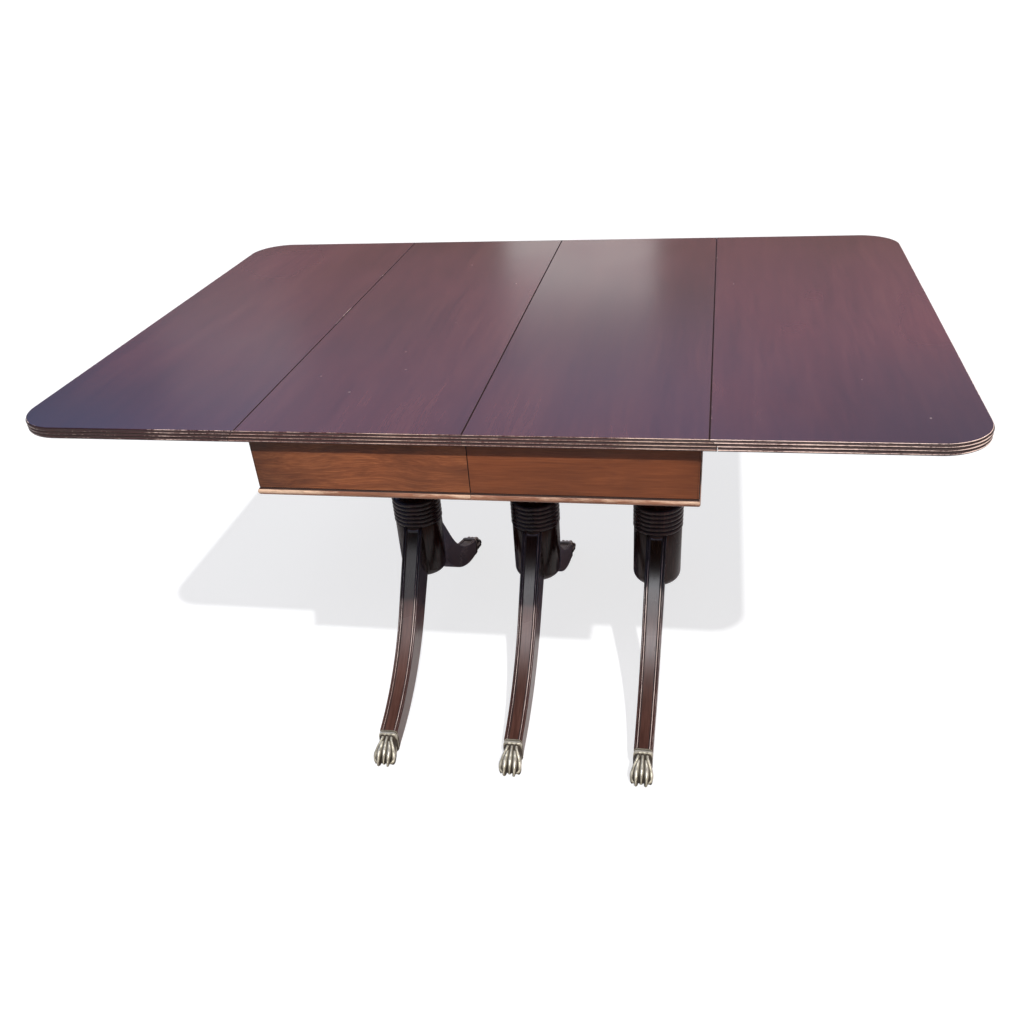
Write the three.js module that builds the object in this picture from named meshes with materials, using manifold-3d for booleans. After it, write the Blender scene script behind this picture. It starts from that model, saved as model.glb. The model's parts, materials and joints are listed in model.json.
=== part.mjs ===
// Dining table on three turned pedestals. The top parts in the middle on wooden slides, and a drop leaf
// hangs from each end on a rule joint. Lengths are in millimetres. X runs from leaf to leaf, Y from the
// front to the back and Z up, with the origin on the floor under the middle of the top.

import * as THREE from 'three';
import { mergeVertices } from 'three/addons/utils/BufferGeometryUtils.js';
import Module from 'manifold-3d';

const wasm = await Module();
wasm.setup();

// Overall sizes
const table_height = 740;
const table_depth = 1016;
const half_top_width = 336.5;
const leaf_width = 367.5;
const board_thickness = 17;
const corner_radius = 76;

// Clearances
const joint_gap = 0.3;
const running_gap = 0.5;
const split_gap = 0.6;
const cut_overrun = 5;

// Reeded edge of the top and the leaves
const arris_height = 1.6;
const arris_inset = 1.5;
const reed_count = 3;
const reed_depth = 1.9;
const reed_steps = 4;
const corner_steps = 6;

// Rule joint between the top and a leaf, which turns on the hinge pins
const pin_height = 3;
const rule_fillet = 3;
const rule_clearance = 0.8;
const rule_steps = 8;
const seam_gap = 0.4;

// Rule joint hinges
const hinge_offsets_share = [-0.79, 0, 0.79];
const hinge_length = 64;
const hinge_knuckles = 3;
const knuckle_gap = 0.4;
const knuckle_sides = 8;
const hinge_pin_radius = 1.1;
const hinge_bore_radius = 1.6;
const hinge_plate_thickness = 1.9;
const fixed_plate_length = 38;
const leaf_plate_length = 60;

// Apron and the bead moulding under it
const apron_setback = 20;
const apron_thickness = 20;
const apron_height = 82;
const hanging_leaf_clearance = 3.5;
const bead_height = 12.5;
const bead_projection = 3;
const bead_steps = 8;

// Slides: a fixed pair of rails in the middle, and a pair on each half that runs along it
const slide_offset_share = 0.417;
const slide_width = 26;
const slide_height = 38;
const slide_end_clearance = 7;
const tongue_depth = 7;
const tongue_root_height = 10;
const tongue_tip_height = 16;

// Bearers that the pedestals stand under
const pedestal_spacing = 250;
const bearer_width = 96;
const bearer_height = 40;

// Lopers, pulled out to hold a leaf up, and their guides
const loper_offset_share = 0.65;
const loper_width = 32;
const loper_height = 24;
const loper_length = 300;
const loper_travel = 165;
const loper_peg_radius = 5;
const loper_peg_length = 11;
const loper_peg_sides = 12;
const guide_length = 40;
const guide_wall = 12;
const guide_web = 9;

// Pegs that line up the two halves
const peg_offsets_share = [-0.69, 0, 0.69];
const peg_radius = 4.5;
const peg_length = 18;
const peg_sides = 12;
const peg_end_bevel = 1.5;

// Turned column: barrel, ringed collar, vase and top tenon
const column_sides = 20;
const barrel_radius = 48.5;
const barrel_underside = 194;
const barrel_round_height = 20;
const barrel_round_depth = 20;
const barrel_round_steps = 4;
const collar_margin = 2;
const collar_projection = 2;
const collar_groove_depth = 1;
const ring_count = 6;
const ring_pitch = 9.3;
const ring_steps = 3;
const vase_shares = [
  [0.88, 0.0], [0.68, 0.04], [0.6, 0.11], [0.84, 0.26], [0.93, 0.4], [0.86, 0.55],
  [0.58, 0.8], [0.66, 0.83], [0.6, 0.87], [0.84, 0.94], [0.84, 1.0],
];
const column_tenon_radius = 19;
const column_tenon_length = 26;

// Sabre legs, front and back of each column
const leg_root_height = 316;
const leg_slope = 51.5;
const foot_slope = 15;
const leg_root_depth = 70;
const leg_root_width = 40;
const leg_foot_depth = 40;
const leg_foot_width = 36;
const leg_taper_share = 1.3;
const leg_straight_steps = 1;
const leg_curve_steps = 7;
const leg_reed_count = 2;
const leg_reed_width = 4;
const leg_reed_depth = 1.4;
const leg_panel_depth = 2;
const leg_reed_steps = 3;
const leg_back_chamfer = 3;
const leg_tenon_width = 16;
const leg_tenon_depth = 16;
const leg_tenon_margin = 14;

// Cast paw caps on the legs
const cap_mouth_reach = 366;
const cap_top_height = 44.5;
const cap_length = 53;
const cap_width = 45;
const cap_wall = 3;
const cap_side_height = 4;
const cap_sole_inset = 2.5;
const cap_toe_count = 5;
const cap_toe_steps = 4;
const cap_flute_depth = 1.7;
const cap_scallop = 9;
const cap_scallop_shares = [0, 1, 0.4, 1, 0];
const cap_socket_length = 32;
const cap_socket_end_share = 0.62;
// Along the cap from its mouth: [length, width, height, flute depth, squareness]
const paw_shares = [
  [0.0, 0.8, 1.01, 0.0, 0.35], [0.04, 0.8, 1.0, 0.0, 0.35], [0.065, 0.77, 0.95, 0.0, 0.35],
  [0.09, 0.82, 1.0, 0.0, 0.35], [0.18, 0.82, 0.98, 0.0, 0.4], [0.21, 0.75, 0.9, 0.3, 0.45],
  [0.36, 0.81, 0.86, 0.9, 0.55], [0.55, 0.93, 0.77, 1.0, 0.62], [0.74, 1.0, 0.64, 1.0, 0.68],
  [0.88, 1.0, 0.46, 1.0, 0.72], [1.0, 0.9, 0.18, 0.8, 0.8],
];

// Levels and faces that several pieces share
const board_underside = table_height - board_thickness;
const half_depth = table_depth / 2;
const pin_level = board_underside + pin_height;
const rule_radius = board_thickness - rule_fillet - pin_height;
const cove_radius = rule_radius + rule_clearance;
const apron_face = half_depth - apron_setback;
const apron_inside = apron_face - apron_thickness;
const apron_end = half_top_width - pin_height - hanging_leaf_clearance - bead_projection;
const apron_end_inside = apron_end - apron_thickness;
const apron_top = board_underside - joint_gap;
const apron_bottom = board_underside - apron_height;
const split_face = split_gap / 2;
const slide_top = board_underside - running_gap;
const slide_bottom = slide_top - slide_height;
const slide_reach = apron_end_inside - slide_end_clearance;
const slide_offset = slide_offset_share * half_depth;
const bearer_top = slide_bottom - running_gap;
const bearer_bottom = bearer_top - bearer_height;
const loper_top = board_underside - running_gap;
const loper_bottom = loper_top - loper_height;
const loper_offset = loper_offset_share * half_depth;
const column_top = bearer_bottom - joint_gap;

// Materials
function finish(colour, roughness, metalness) {
  return () => new THREE.MeshStandardMaterial({ color: colour, roughness, metalness });
}
const top_mahogany = finish(0x6a4a48, 0.3, 0);
const apron_mahogany = finish(0x7a452e, 0.4, 0);
const turned_mahogany = finish(0x3a2422, 0.35, 0);
const slide_wood = finish(0x8a6844, 0.65, 0);
const cast_brass = finish(0x9a8a68, 0.45, 0.9);
const hinge_iron = finish(0x55524e, 0.5, 0.85);

// Joining and cutting

const merge_tolerance = 1e-4;

// A closed geometry of flat lists of coordinates and corner numbers, with its faces turned outwards
function closedMesh(positions, index) {
  const corner = (i) => new THREE.Vector3().fromArray(positions, 3 * index[i]);
  let volume = 0;
  for (let i = 0; i < index.length; i += 3) {
    volume += corner(i).dot(corner(i + 1).cross(corner(i + 2)));
  }
  const outward = index.slice();
  for (let i = 0; volume < 0 && i < index.length; i += 3) {
    [outward[i + 1], outward[i + 2]] = [index[i + 2], index[i + 1]];
  }
  const geometry = new THREE.BufferGeometry();
  geometry.setAttribute('position', new THREE.Float32BufferAttribute(positions, 3));
  geometry.setIndex(outward);
  geometry.computeVertexNormals();
  return geometry;
}

// The geometry with shared vertices merged and without the triangles that this makes empty
function merged(geometry) {
  const bare = geometry.clone();
  bare.deleteAttribute('normal');
  bare.deleteAttribute('uv');
  const joined = mergeVertices(bare, merge_tolerance);
  const index = Array.from(joined.index.array);
  const kept = [];
  for (let i = 0; i < index.length; i += 3) {
    const [a, b, c] = index.slice(i, i + 3);
    if (a !== b && b !== c && c !== a) kept.push(a, b, c);
  }
  return closedMesh(Array.from(joined.attributes.position.array), kept);
}

function solid(geometry) {
  const { attributes, index } = merged(geometry);
  return new wasm.Manifold(new wasm.Mesh({
    numProp: 3,
    vertProperties: new Float32Array(attributes.position.array),
    triVerts: new Uint32Array(index.array),
  }));
}

function geometryOf(body) {
  const { vertProperties, triVerts } = body.getMesh();
  return closedMesh(Array.from(vertProperties), Array.from(triVerts));
}

function cut(geometry, ...cutters) {
  return geometryOf(cutters.reduce((body, cutter) => body.subtract(solid(cutter)), solid(geometry)));
}

function join(geometry, ...others) {
  return geometryOf(others.reduce((body, other) => body.add(solid(other)), solid(geometry)));
}

function common(geometry, other) {
  return geometryOf(solid(geometry).intersect(solid(other)));
}

// Shapes

const axis_x = new THREE.Vector3(1, 0, 0);
const axis_y = new THREE.Vector3(0, 1, 0);
const axis_z = new THREE.Vector3(0, 0, 1);

// A straight bar. Its outline is in (y, z) along X, in (x, z) along Y and in (x, y) along Z.
function bar(along, outline, from, to) {
  const shape = new THREE.Shape(outline.map(([a, b]) => new THREE.Vector2(a, b)));
  const geometry = new THREE.ExtrudeGeometry(shape, { depth: to - from, bevelEnabled: false });
  const place = new THREE.Matrix4();
  if (along === 'x') place.makeBasis(axis_y, axis_z, axis_x).setPosition(from, 0, 0);
  if (along === 'y') place.makeBasis(axis_x, axis_z, axis_y.clone().negate()).setPosition(0, to, 0);
  if (along === 'z') place.setPosition(0, 0, from);
  return geometry.applyMatrix4(place);
}

function block([x0, x1], [y0, y1], [z0, z1]) {
  const geometry = new THREE.BoxGeometry(x1 - x0, y1 - y0, z1 - z0);
  return geometry.translate((x0 + x1) / 2, (y0 + y1) / 2, (z0 + z1) / 2);
}

// A round bar along X or Y with its middle line at the other two coordinates
function roundBar(along, radius, sides, from, to, a, b) {
  const outline = [];
  for (let i = 0; i < sides; i += 1) {
    const angle = (2 * Math.PI * (i + 0.5)) / sides;
    outline.push([a + radius * Math.cos(angle), b + radius * Math.sin(angle)]);
  }
  return bar(along, outline, from, to);
}

// A skin over rings of points, closed by a fan at each end
function loft(rings) {
  const count = rings[0].length;
  const positions = rings.flat();
  const triangles = [];
  for (let r = 0; r + 1 < rings.length; r += 1) {
    for (let i = 0; i < count; i += 1) {
      const [a, b] = [r * count + i, r * count + ((i + 1) % count)];
      triangles.push([a, b, b + count], [a, b + count, a + count]);
    }
  }
  for (const [r, turn] of [[0, true], [rings.length - 1, false]]) {
    const middle = positions.length;
    positions.push([0, 1, 2].map((k) => rings[r].reduce((sum, p) => sum + p[k], 0) / count));
    for (let i = 0; i < count; i += 1) {
      const [a, b] = [r * count + i, r * count + ((i + 1) % count)];
      triangles.push(turn ? [b, a, middle] : [a, b, middle]);
    }
  }
  return closedMesh(positions.flat(), triangles.flat());
}

function turned(profile, sides) {
  const geometry = new THREE.LatheGeometry(profile.map(([r, z]) => new THREE.Vector2(r, z)), sides);
  return merged(geometry.rotateX(Math.PI / 2));
}

function arc(centre, radius, from, to, steps) {
  const points = [];
  for (let i = 0; i <= steps; i += 1) {
    const angle = from + ((to - from) * i) / steps;
    points.push([centre[0] + radius * Math.cos(angle), centre[1] + radius * Math.sin(angle)]);
  }
  return points;
}

// Top and leaves

// The reeded edge from the top face down, as [inset, depth] from the board's outer edge and top face
function reededEdge() {
  const pitch = (board_thickness - arris_height) / reed_count;
  const points = [[arris_inset, 0], [arris_inset, arris_height]];
  for (let reed = 0; reed < reed_count; reed += 1) {
    for (let i = reed === 0 ? 0 : 1; i <= reed_steps; i += 1) {
      const angle = (Math.PI * i) / reed_steps;
      const depth = arris_height + pitch * (reed + (1 - Math.cos(angle)) / 2);
      points.push([reed_depth * (1 - Math.sin(angle)), depth]);
    }
  }
  return points;
}

// Half of the fixed top, from the split to the rounded edge of the rule joint
function halfTop(pegged) {
  const edge = reededEdge();
  const front = edge.map(([inset, depth]) => [inset - half_depth, table_height - depth]);
  const back = edge.map(([inset, depth]) => [half_depth - inset, table_height - depth]).reverse();
  const board = bar('x', [...front, ...back], split_face, half_top_width + rule_radius + cut_overrun);
  const rule = [
    [split_face, board_underside - cut_overrun],
    [half_top_width + Math.sqrt(rule_radius ** 2 - pin_height ** 2), board_underside - cut_overrun],
    ...arc([half_top_width, pin_level], rule_radius, -Math.asin(pin_height / rule_radius), Math.PI / 2, rule_steps),
    [half_top_width, table_height + cut_overrun],
    [split_face, table_height + cut_overrun],
  ];
  const shaped = common(board, bar('y', rule, -table_depth, table_depth));
  const recesses = hinge_offsets_share.flatMap((share) => hingeRecesses(share * half_depth));
  const recessed = cut(shaped, ...recesses);
  return pegged ? join(recessed, ...pegs()) : cut(recessed, ...pegHoles());
}

// Room for a hinge under the fixed top: one recess for its plate and one for the knuckles' turn
function hingeRecesses(offset) {
  const along = [offset - hinge_length / 2 - joint_gap, offset + hinge_length / 2 + joint_gap];
  const bottom = board_underside - cut_overrun;
  const plate_end = half_top_width - fixed_plate_length - joint_gap;
  const plate_top = board_underside + hinge_plate_thickness + joint_gap;
  const knuckle_room = pin_height + 2 * running_gap;
  const outer = half_top_width + rule_radius + cut_overrun;
  return [
    block([plate_end, half_top_width], along, [bottom, plate_top]),
    block([half_top_width - knuckle_room, outer], along, [bottom, pin_level + knuckle_room]),
  ];
}

const peg_level = table_height - board_thickness / 2;

function pegs() {
  return peg_offsets_share.map((share) => {
    const ring = (x, radius) => roundRing(x, share * half_depth, peg_level, radius);
    return loft([
      ring(-peg_length, peg_radius - peg_end_bevel),
      ring(-peg_length + peg_end_bevel, peg_radius),
      ring(split_face + cut_overrun, peg_radius),
    ]);
  });
}

function roundRing(x, y, z, radius) {
  return arc([y, z], radius, 0, 2 * Math.PI, peg_sides).slice(1).map(([a, b]) => [x, a, b]);
}

function pegHoles() {
  const deep = split_face + peg_length + running_gap;
  return peg_offsets_share.map((share) => roundBar(
    'x', peg_radius + running_gap, peg_sides, -cut_overrun, deep, share * half_depth, peg_level,
  ));
}

// A drop leaf, reeded on its three free edges and coved along the seam
function dropLeaf() {
  const outer = half_top_width + leaf_width;
  const inner = half_top_width + seam_gap;
  const centre_x = outer - corner_radius;
  const centre_y = half_depth - corner_radius;
  const rings = reededEdge().map(([inset, depth]) => {
    const radius = corner_radius - inset;
    return [
      [inner, inset - half_depth],
      ...arc([centre_x, -centre_y], radius, -Math.PI / 2, 0, corner_steps),
      ...arc([centre_x, centre_y], radius, 0, Math.PI / 2, corner_steps),
      [inner, half_depth - inset],
    ].map(([x, y]) => [x, y, table_height - depth]);
  });
  const cove = [
    [inner - cut_overrun, board_underside - cut_overrun],
    [half_top_width + cove_radius, board_underside - cut_overrun],
    ...arc([half_top_width, pin_level], cove_radius, 0, Math.PI / 2, rule_steps),
    [inner - cut_overrun, pin_level + cove_radius],
  ];
  const plate_end = half_top_width + leaf_plate_length + joint_gap;
  const plate_top = board_underside + hinge_plate_thickness + joint_gap;
  const recesses = hinge_offsets_share.map((share) => block(
    [inner, plate_end],
    [share * half_depth - hinge_length / 2 - joint_gap, share * half_depth + hinge_length / 2 + joint_gap],
    [board_underside - cut_overrun, plate_top],
  ));
  return cut(loft(rings), bar('y', cove, -table_depth, table_depth), ...recesses);
}

// Hinges

// One half of a hinge: a plate with every other knuckle. The fixed half carries the pin.
function hingeHalf(fixed) {
  const pitch = hinge_length / hinge_knuckles;
  const out = fixed ? -1 : 1;
  const length = fixed ? fixed_plate_length : leaf_plate_length;
  const near = pin_height + running_gap;
  const plate_levels = [board_underside, board_underside + hinge_plate_thickness];
  const span = (a, b) => [Math.min(a, b), Math.max(a, b)].map((x) => half_top_width + x);
  const main = block(span(out * near, out * length), [-hinge_length / 2, hinge_length / 2], plate_levels);
  const knuckles = [];
  const strips = [];
  for (let k = fixed ? 0 : 1; k < hinge_knuckles; k += 2) {
    const from = -hinge_length / 2 + k * pitch + knuckle_gap / 2;
    const to = from + pitch - knuckle_gap;
    knuckles.push(roundBar('y', pin_height, knuckle_sides, from, to, half_top_width, pin_level));
    strips.push(block(span(0, out * (near + joint_gap)), [from, to], plate_levels));
  }
  const reach = hinge_length / 2 - knuckle_gap / 2;
  const core = fixed ? hinge_pin_radius : hinge_bore_radius;
  const ends = fixed ? reach : reach + cut_overrun;
  const pin = roundBar('y', core, knuckle_sides, -ends, ends, half_top_width, pin_level);
  const plate = join(main, ...strips, ...knuckles);
  return fixed ? join(plate, pin) : cut(plate, pin);
}

// Apron and bead moulding

function longApron() {
  return block([split_face, apron_end], [-apron_face, -apron_inside], [apron_bottom, apron_top]);
}

// The end rail, notched at the top where the lopers pass
function endApron() {
  const reach = apron_inside - joint_gap;
  const rail = block([apron_end_inside, apron_end], [-reach, reach], [apron_bottom, apron_top]);
  const through = [apron_end_inside - cut_overrun, apron_end + cut_overrun];
  const notches = [-loper_offset, loper_offset].map((y) => block(
    through,
    [y - loper_width / 2 - running_gap, y + loper_width / 2 + running_gap],
    [loper_bottom - running_gap, board_underside],
  ));
  return cut(rail, ...notches);
}

// The bead's section as [outward, up] from the apron's inner face and the bead's underside
function beadSection() {
  const round = bead_height / 2;
  const nose = apron_thickness + bead_projection - round;
  return [[0, 0], ...arc([nose, round], round, -Math.PI / 2, Math.PI / 2, bead_steps), [0, bead_height]];
}

const bead_bottom = apron_bottom - joint_gap - bead_height;
const bead_face = apron_face + bead_projection;
const bead_end = apron_end + bead_projection;
const mitre_gap = joint_gap / Math.SQRT2;

// The bead under a long apron, mitred at its outer end
function longBead() {
  const outline = beadSection().map(([outward, up]) => [-apron_inside - outward, bead_bottom + up]);
  const plan = [
    [split_face, -apron_inside], [split_face, -bead_face],
    [bead_end - mitre_gap, -bead_face], [bead_end - (bead_face - apron_inside) - mitre_gap, -apron_inside],
  ];
  const levels = [bead_bottom - cut_overrun, apron_bottom];
  return common(bar('x', outline, split_face, bead_end), bar('z', plan, ...levels));
}

// The bead under the end rail, mitred at both ends
function endBead() {
  const outline = beadSection().map(([outward, up]) => [apron_end_inside + outward, bead_bottom + up]);
  const inside = bead_end - apron_end_inside;
  const plan = [
    [bead_end, mitre_gap - bead_face], [bead_end, bead_face - mitre_gap],
    [apron_end_inside, bead_face - mitre_gap - inside], [apron_end_inside, mitre_gap + inside - bead_face],
  ];
  const levels = [bead_bottom - cut_overrun, apron_bottom];
  return common(bar('y', outline, -bead_face, bead_face), bar('z', plan, ...levels));
}

// Slides and bearers

// The section of a tongue, as [outward, up] from the middle of the rail's side
function tongueSection(grow) {
  const root = tongue_root_height / 2 + grow;
  const tip = tongue_tip_height / 2 + grow;
  return [[0, -root], [tongue_depth + grow, -tip], [tongue_depth + grow, tip], [0, root]];
}

const slide_middle = (slide_top + slide_bottom) / 2;

// A fixed rail in the middle, grooved on both sides
function fixedSlide() {
  const rail = block([-slide_reach, slide_reach], [-slide_width / 2, slide_width / 2], [slide_bottom, slide_top]);
  const ends = slide_reach + cut_overrun;
  const grooves = [-1, 1].map((side) => {
    const section = tongueSection(running_gap).map(([out, up]) => (
      [side * (slide_width / 2 - out), slide_middle + up]
    ));
    const mouth = [
      ...section,
      [side * (slide_width / 2 + cut_overrun), slide_middle + tongue_root_height / 2 + running_gap],
      [side * (slide_width / 2 + cut_overrun), slide_middle - tongue_root_height / 2 - running_gap],
    ];
    return bar('x', mouth, -ends, ends);
  });
  return cut(rail, ...grooves);
}

// A rail of one half, with a tongue on the side towards the fixed rail
function runningSlide(side) {
  const half = slide_width / 2;
  const section = [
    [-side * half, slide_bottom], [-side * half, slide_top], [side * half, slide_top],
    ...tongueSection(0).reverse().map(([out, up]) => [side * (half + out), slide_middle + up]),
    [side * half, slide_bottom],
  ];
  return bar('x', section, -slide_reach, slide_reach);
}

function bearer(reach) {
  const block_of_wood = block(
    [-bearer_width / 2, bearer_width / 2], [-reach, reach], [bearer_bottom, bearer_top],
  );
  const mortise_top = column_top + column_tenon_length + joint_gap;
  const profile = [
    [0, bearer_bottom - cut_overrun], [column_tenon_radius + joint_gap, bearer_bottom - cut_overrun],
    [column_tenon_radius + joint_gap, mortise_top], [0, mortise_top],
  ];
  return cut(block_of_wood, turned(profile, column_sides));
}

// Lopers

const loper_inner = apron_end - loper_length;
const guide_inner = loper_inner + loper_travel + 2 * loper_peg_radius + guide_wall;

// A loper, with the peg that stops it against its guide
function loper() {
  const rail = block([loper_inner, apron_end], [-loper_width / 2, loper_width / 2], [loper_bottom, loper_top]);
  const peg_x = guide_inner - loper_travel - loper_peg_radius - running_gap;
  const outline = arc([peg_x, 0], loper_peg_radius, 0, 2 * Math.PI, loper_peg_sides).slice(1);
  return join(rail, bar('z', outline, loper_bottom - loper_peg_length, loper_bottom + cut_overrun));
}

function loperGuide() {
  const slot = loper_width / 2 + running_gap;
  const bottom = loper_bottom - running_gap - guide_web;
  const section = [
    [-slot - guide_wall, bottom], [slot + guide_wall, bottom], [slot + guide_wall, apron_top],
    [slot, apron_top], [slot, loper_bottom - running_gap], [-slot, loper_bottom - running_gap],
    [-slot, apron_top], [-slot - guide_wall, apron_top],
  ];
  return bar('x', section, guide_inner, guide_inner + guide_length);
}

// Columns

const collar_bottom = leg_root_height + collar_margin;
const collar_top = collar_bottom + ring_count * ring_pitch;

// The rounded lower end of the barrel, as [radius, height] from its flat underside up, grown by a clearance
function barrelRound(grow) {
  const centre = [barrel_radius - barrel_round_depth, barrel_underside + barrel_round_height];
  const points = [];
  for (let i = 0; i <= barrel_round_steps; i += 1) {
    const angle = ((Math.PI / 2) * i) / barrel_round_steps;
    points.push([
      centre[0] + (barrel_round_depth + grow) * Math.sin(angle),
      centre[1] - (barrel_round_height + grow) * Math.cos(angle),
    ]);
  }
  return points;
}
const leg_tenon_levels = [legUnderside() + leg_tenon_margin, leg_root_height - leg_tenon_margin];

function columnProfile() {
  const points = [[0, barrel_underside], ...barrelRound(0), [barrel_radius, collar_bottom]];
  const valley = barrel_radius - collar_groove_depth;
  for (let i = 0; i < ring_count * ring_steps; i += 1) {
    const swell = Math.sin((Math.PI * (i % ring_steps)) / ring_steps);
    const crest = (collar_projection + collar_groove_depth) * swell;
    points.push([valley + crest, collar_bottom + (ring_pitch * i) / ring_steps]);
  }
  points.push([valley, collar_top]);
  const shaft = column_top - collar_top;
  for (const [radius_share, height_share] of vase_shares) {
    points.push([barrel_radius * radius_share, collar_top + shaft * height_share]);
  }
  points.push(
    [column_tenon_radius, column_top], [column_tenon_radius, column_top + column_tenon_length],
    [0, column_top + column_tenon_length],
  );
  return points;
}

function column() {
  const mortise = barrel_radius - leg_tenon_depth - joint_gap;
  const mortises = [-1, 1].map((side) => {
    const ends = [side * mortise, side * (barrel_radius + cut_overrun)].sort((a, b) => a - b);
    return block(
      [-leg_tenon_width / 2 - joint_gap, leg_tenon_width / 2 + joint_gap], ends,
      [leg_tenon_levels[0] - joint_gap, leg_tenon_levels[1] + joint_gap],
    );
  });
  return cut(turned(columnProfile(), column_sides), ...mortises);
}

// Legs

// The outer line of a leg, straight and then curved, as points with their slope and share of the way
function legPath() {
  const [steep, flat] = [leg_slope, foot_slope].map(THREE.MathUtils.degToRad);
  const across = cap_mouth_reach - barrel_radius;
  const down = leg_root_height - cap_top_height;
  const [sine, cosine] = [Math.sin(steep) - Math.sin(flat), Math.cos(flat) - Math.cos(steep)];
  const scale = Math.cos(steep) * cosine - sine * Math.sin(steep);
  const straight = (across * cosine - sine * down) / scale;
  const radius = (Math.cos(steep) * down - Math.sin(steep) * across) / scale;
  const length = straight + radius * (steep - flat);
  const along = (distance) => {
    const run = Math.min(distance, straight);
    const turn = THREE.MathUtils.clamp((distance - straight) / radius, 0, steep - flat);
    const tail = Math.max(distance - length, 0);
    const slope = steep - turn;
    return {
      reach: barrel_radius + run * Math.cos(steep) + radius * (Math.sin(steep) - Math.sin(slope))
        + tail * Math.cos(flat),
      height: leg_root_height - run * Math.sin(steep) - radius * (Math.cos(slope) - Math.cos(steep))
        - tail * Math.sin(flat),
      slope,
      share: THREE.MathUtils.clamp(distance / length, 0, 1),
    };
  };
  const stations = [along(-3 * cut_overrun)];
  for (let i = 1; i <= leg_straight_steps; i += 1) stations.push(along((straight * i) / leg_straight_steps));
  for (let i = 1; i <= leg_curve_steps; i += 1) {
    stations.push(along(straight + ((length - straight) * i) / leg_curve_steps));
  }
  stations.push(along(length + 3 * cut_overrun));
  return stations;
}

function between(from, to, share) {
  return from + (to - from) * share;
}

// Height at which the underside of a leg meets the barrel
function legUnderside() {
  const steep = THREE.MathUtils.degToRad(leg_slope);
  return leg_root_height - leg_root_depth / Math.cos(steep);
}

// The section of a leg, as [across, inward], with reeds along both sides of the outer face
function legSection(width, depth) {
  const left = [];
  for (let i = 0; i < leg_reed_count * leg_reed_steps; i += 1) {
    const swell = Math.sin((Math.PI * (i % leg_reed_steps)) / leg_reed_steps);
    left.push([-width / 2 + (leg_reed_width * i) / leg_reed_steps, leg_reed_depth * (1 - swell)]);
  }
  left.push([-width / 2 + leg_reed_count * leg_reed_width, leg_panel_depth]);
  const right = left.map(([across, inward]) => [-across, inward]).reverse();
  return [
    ...left, ...right,
    [width / 2, depth - leg_back_chamfer], [width / 2 - leg_back_chamfer, depth],
    [leg_back_chamfer - width / 2, depth], [-width / 2, depth - leg_back_chamfer],
  ];
}

// The end of a leg inside its cap, grown by a clearance where it is used to hollow the cap
function toe(grow, from) {
  const under = cap_top_height - leg_foot_depth / Math.cos(THREE.MathUtils.degToRad(foot_slope));
  const half = leg_foot_width / 2 - cap_wall + grow;
  const low = under + cap_wall - grow;
  const high = cap_top_height - 2 * cap_wall + grow;
  const ring = (reach, narrow, top) => [
    [-half * narrow, -reach, low], [half * narrow, -reach, low],
    [half * narrow, -reach, top], [-half * narrow, -reach, top],
  ];
  const end = cap_mouth_reach + cap_socket_length + grow;
  return loft([
    ring(from, 1, high), ring(cap_mouth_reach, 1, high),
    ring(end, cap_socket_end_share, between(low, high, cap_socket_end_share)),
  ]);
}

// A leg that sweeps forwards, with its tenon in the barrel and its toe in the cap
function leg() {
  const rings = legPath().map(({ reach, height, slope, share }) => {
    const width = between(leg_root_width, leg_foot_width, share);
    const depth = between(leg_root_depth, leg_foot_depth, share ** leg_taper_share);
    return legSection(width, depth).map(([across, inward]) => [
      across, -reach + inward * Math.sin(slope), height - inward * Math.cos(slope),
    ]);
  });
  const root = barrel_radius + joint_gap;
  const ledge = collar_bottom - joint_gap;
  const past_leg = barrel_radius + leg_root_width;
  const barrel = [
    [0, barrel_underside - joint_gap], ...barrelRound(joint_gap), [root, ledge],
    [past_leg, ledge], [past_leg, table_height], [0, table_height],
  ];
  const wide = [-leg_root_width, leg_root_width];
  const past_mouth = block(wide, [-2 * cap_mouth_reach, joint_gap - cap_mouth_reach], [-table_height, table_height]);
  const swept = cut(loft(rings), turned(barrel, column_sides), past_mouth);
  const tenon = block(
    [-leg_tenon_width / 2, leg_tenon_width / 2],
    [-root - cut_overrun, leg_tenon_depth - barrel_radius],
    leg_tenon_levels,
  );
  return join(swept, tenon, toe(0, cap_mouth_reach - cut_overrun));
}

// Paw caps

// One ring of the cap's skin: up one side, over the fluted toes and down the other, then along the sole
function pawRing([length_share, width_share, height_share, flute_share, square]) {
  const steps = cap_toe_count * cap_toe_steps;
  const half = (cap_width * width_share) / 2;
  const rise = cap_top_height * height_share - cap_side_height;
  const ring = [];
  for (let i = 0; i <= steps; i += 1) {
    const angle = Math.PI * (1 - i / steps);
    const side = Math.sign(Math.cos(angle)) * Math.abs(Math.cos(angle)) ** square;
    const up = Math.sin(angle) ** square;
    const ridge = -Math.cos((2 * Math.PI * i) / cap_toe_steps);
    const flute = cap_flute_depth * flute_share * (ridge - 1) / 2;
    const toe_share = cap_scallop_shares[Math.min(Math.floor(i / cap_toe_steps), cap_toe_count - 1)];
    const scallop = cap_scallop * toe_share * Math.max(ridge, 0) * length_share ** 2;
    ring.push([
      side * half + flute * side,
      -(cap_mouth_reach + cap_length * length_share + scallop),
      cap_side_height + up * (rise + flute),
    ]);
  }
  const sole_reach = cap_mouth_reach + cap_length * length_share;
  ring.push([half - cap_sole_inset, -sole_reach, 0], [cap_sole_inset - half, -sole_reach, 0]);
  return ring;
}

function pawCap() {
  return cut(loft(paw_shares.map(pawRing)), toe(joint_gap, cap_mouth_reach - cut_overrun));
}

// Assembly

function piece(name, geometry, material, x = 0, y = 0) {
  const mesh = new THREE.Mesh(geometry, material());
  mesh.name = name;
  mesh.position.set(x, y, 0);
  return mesh;
}

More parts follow.
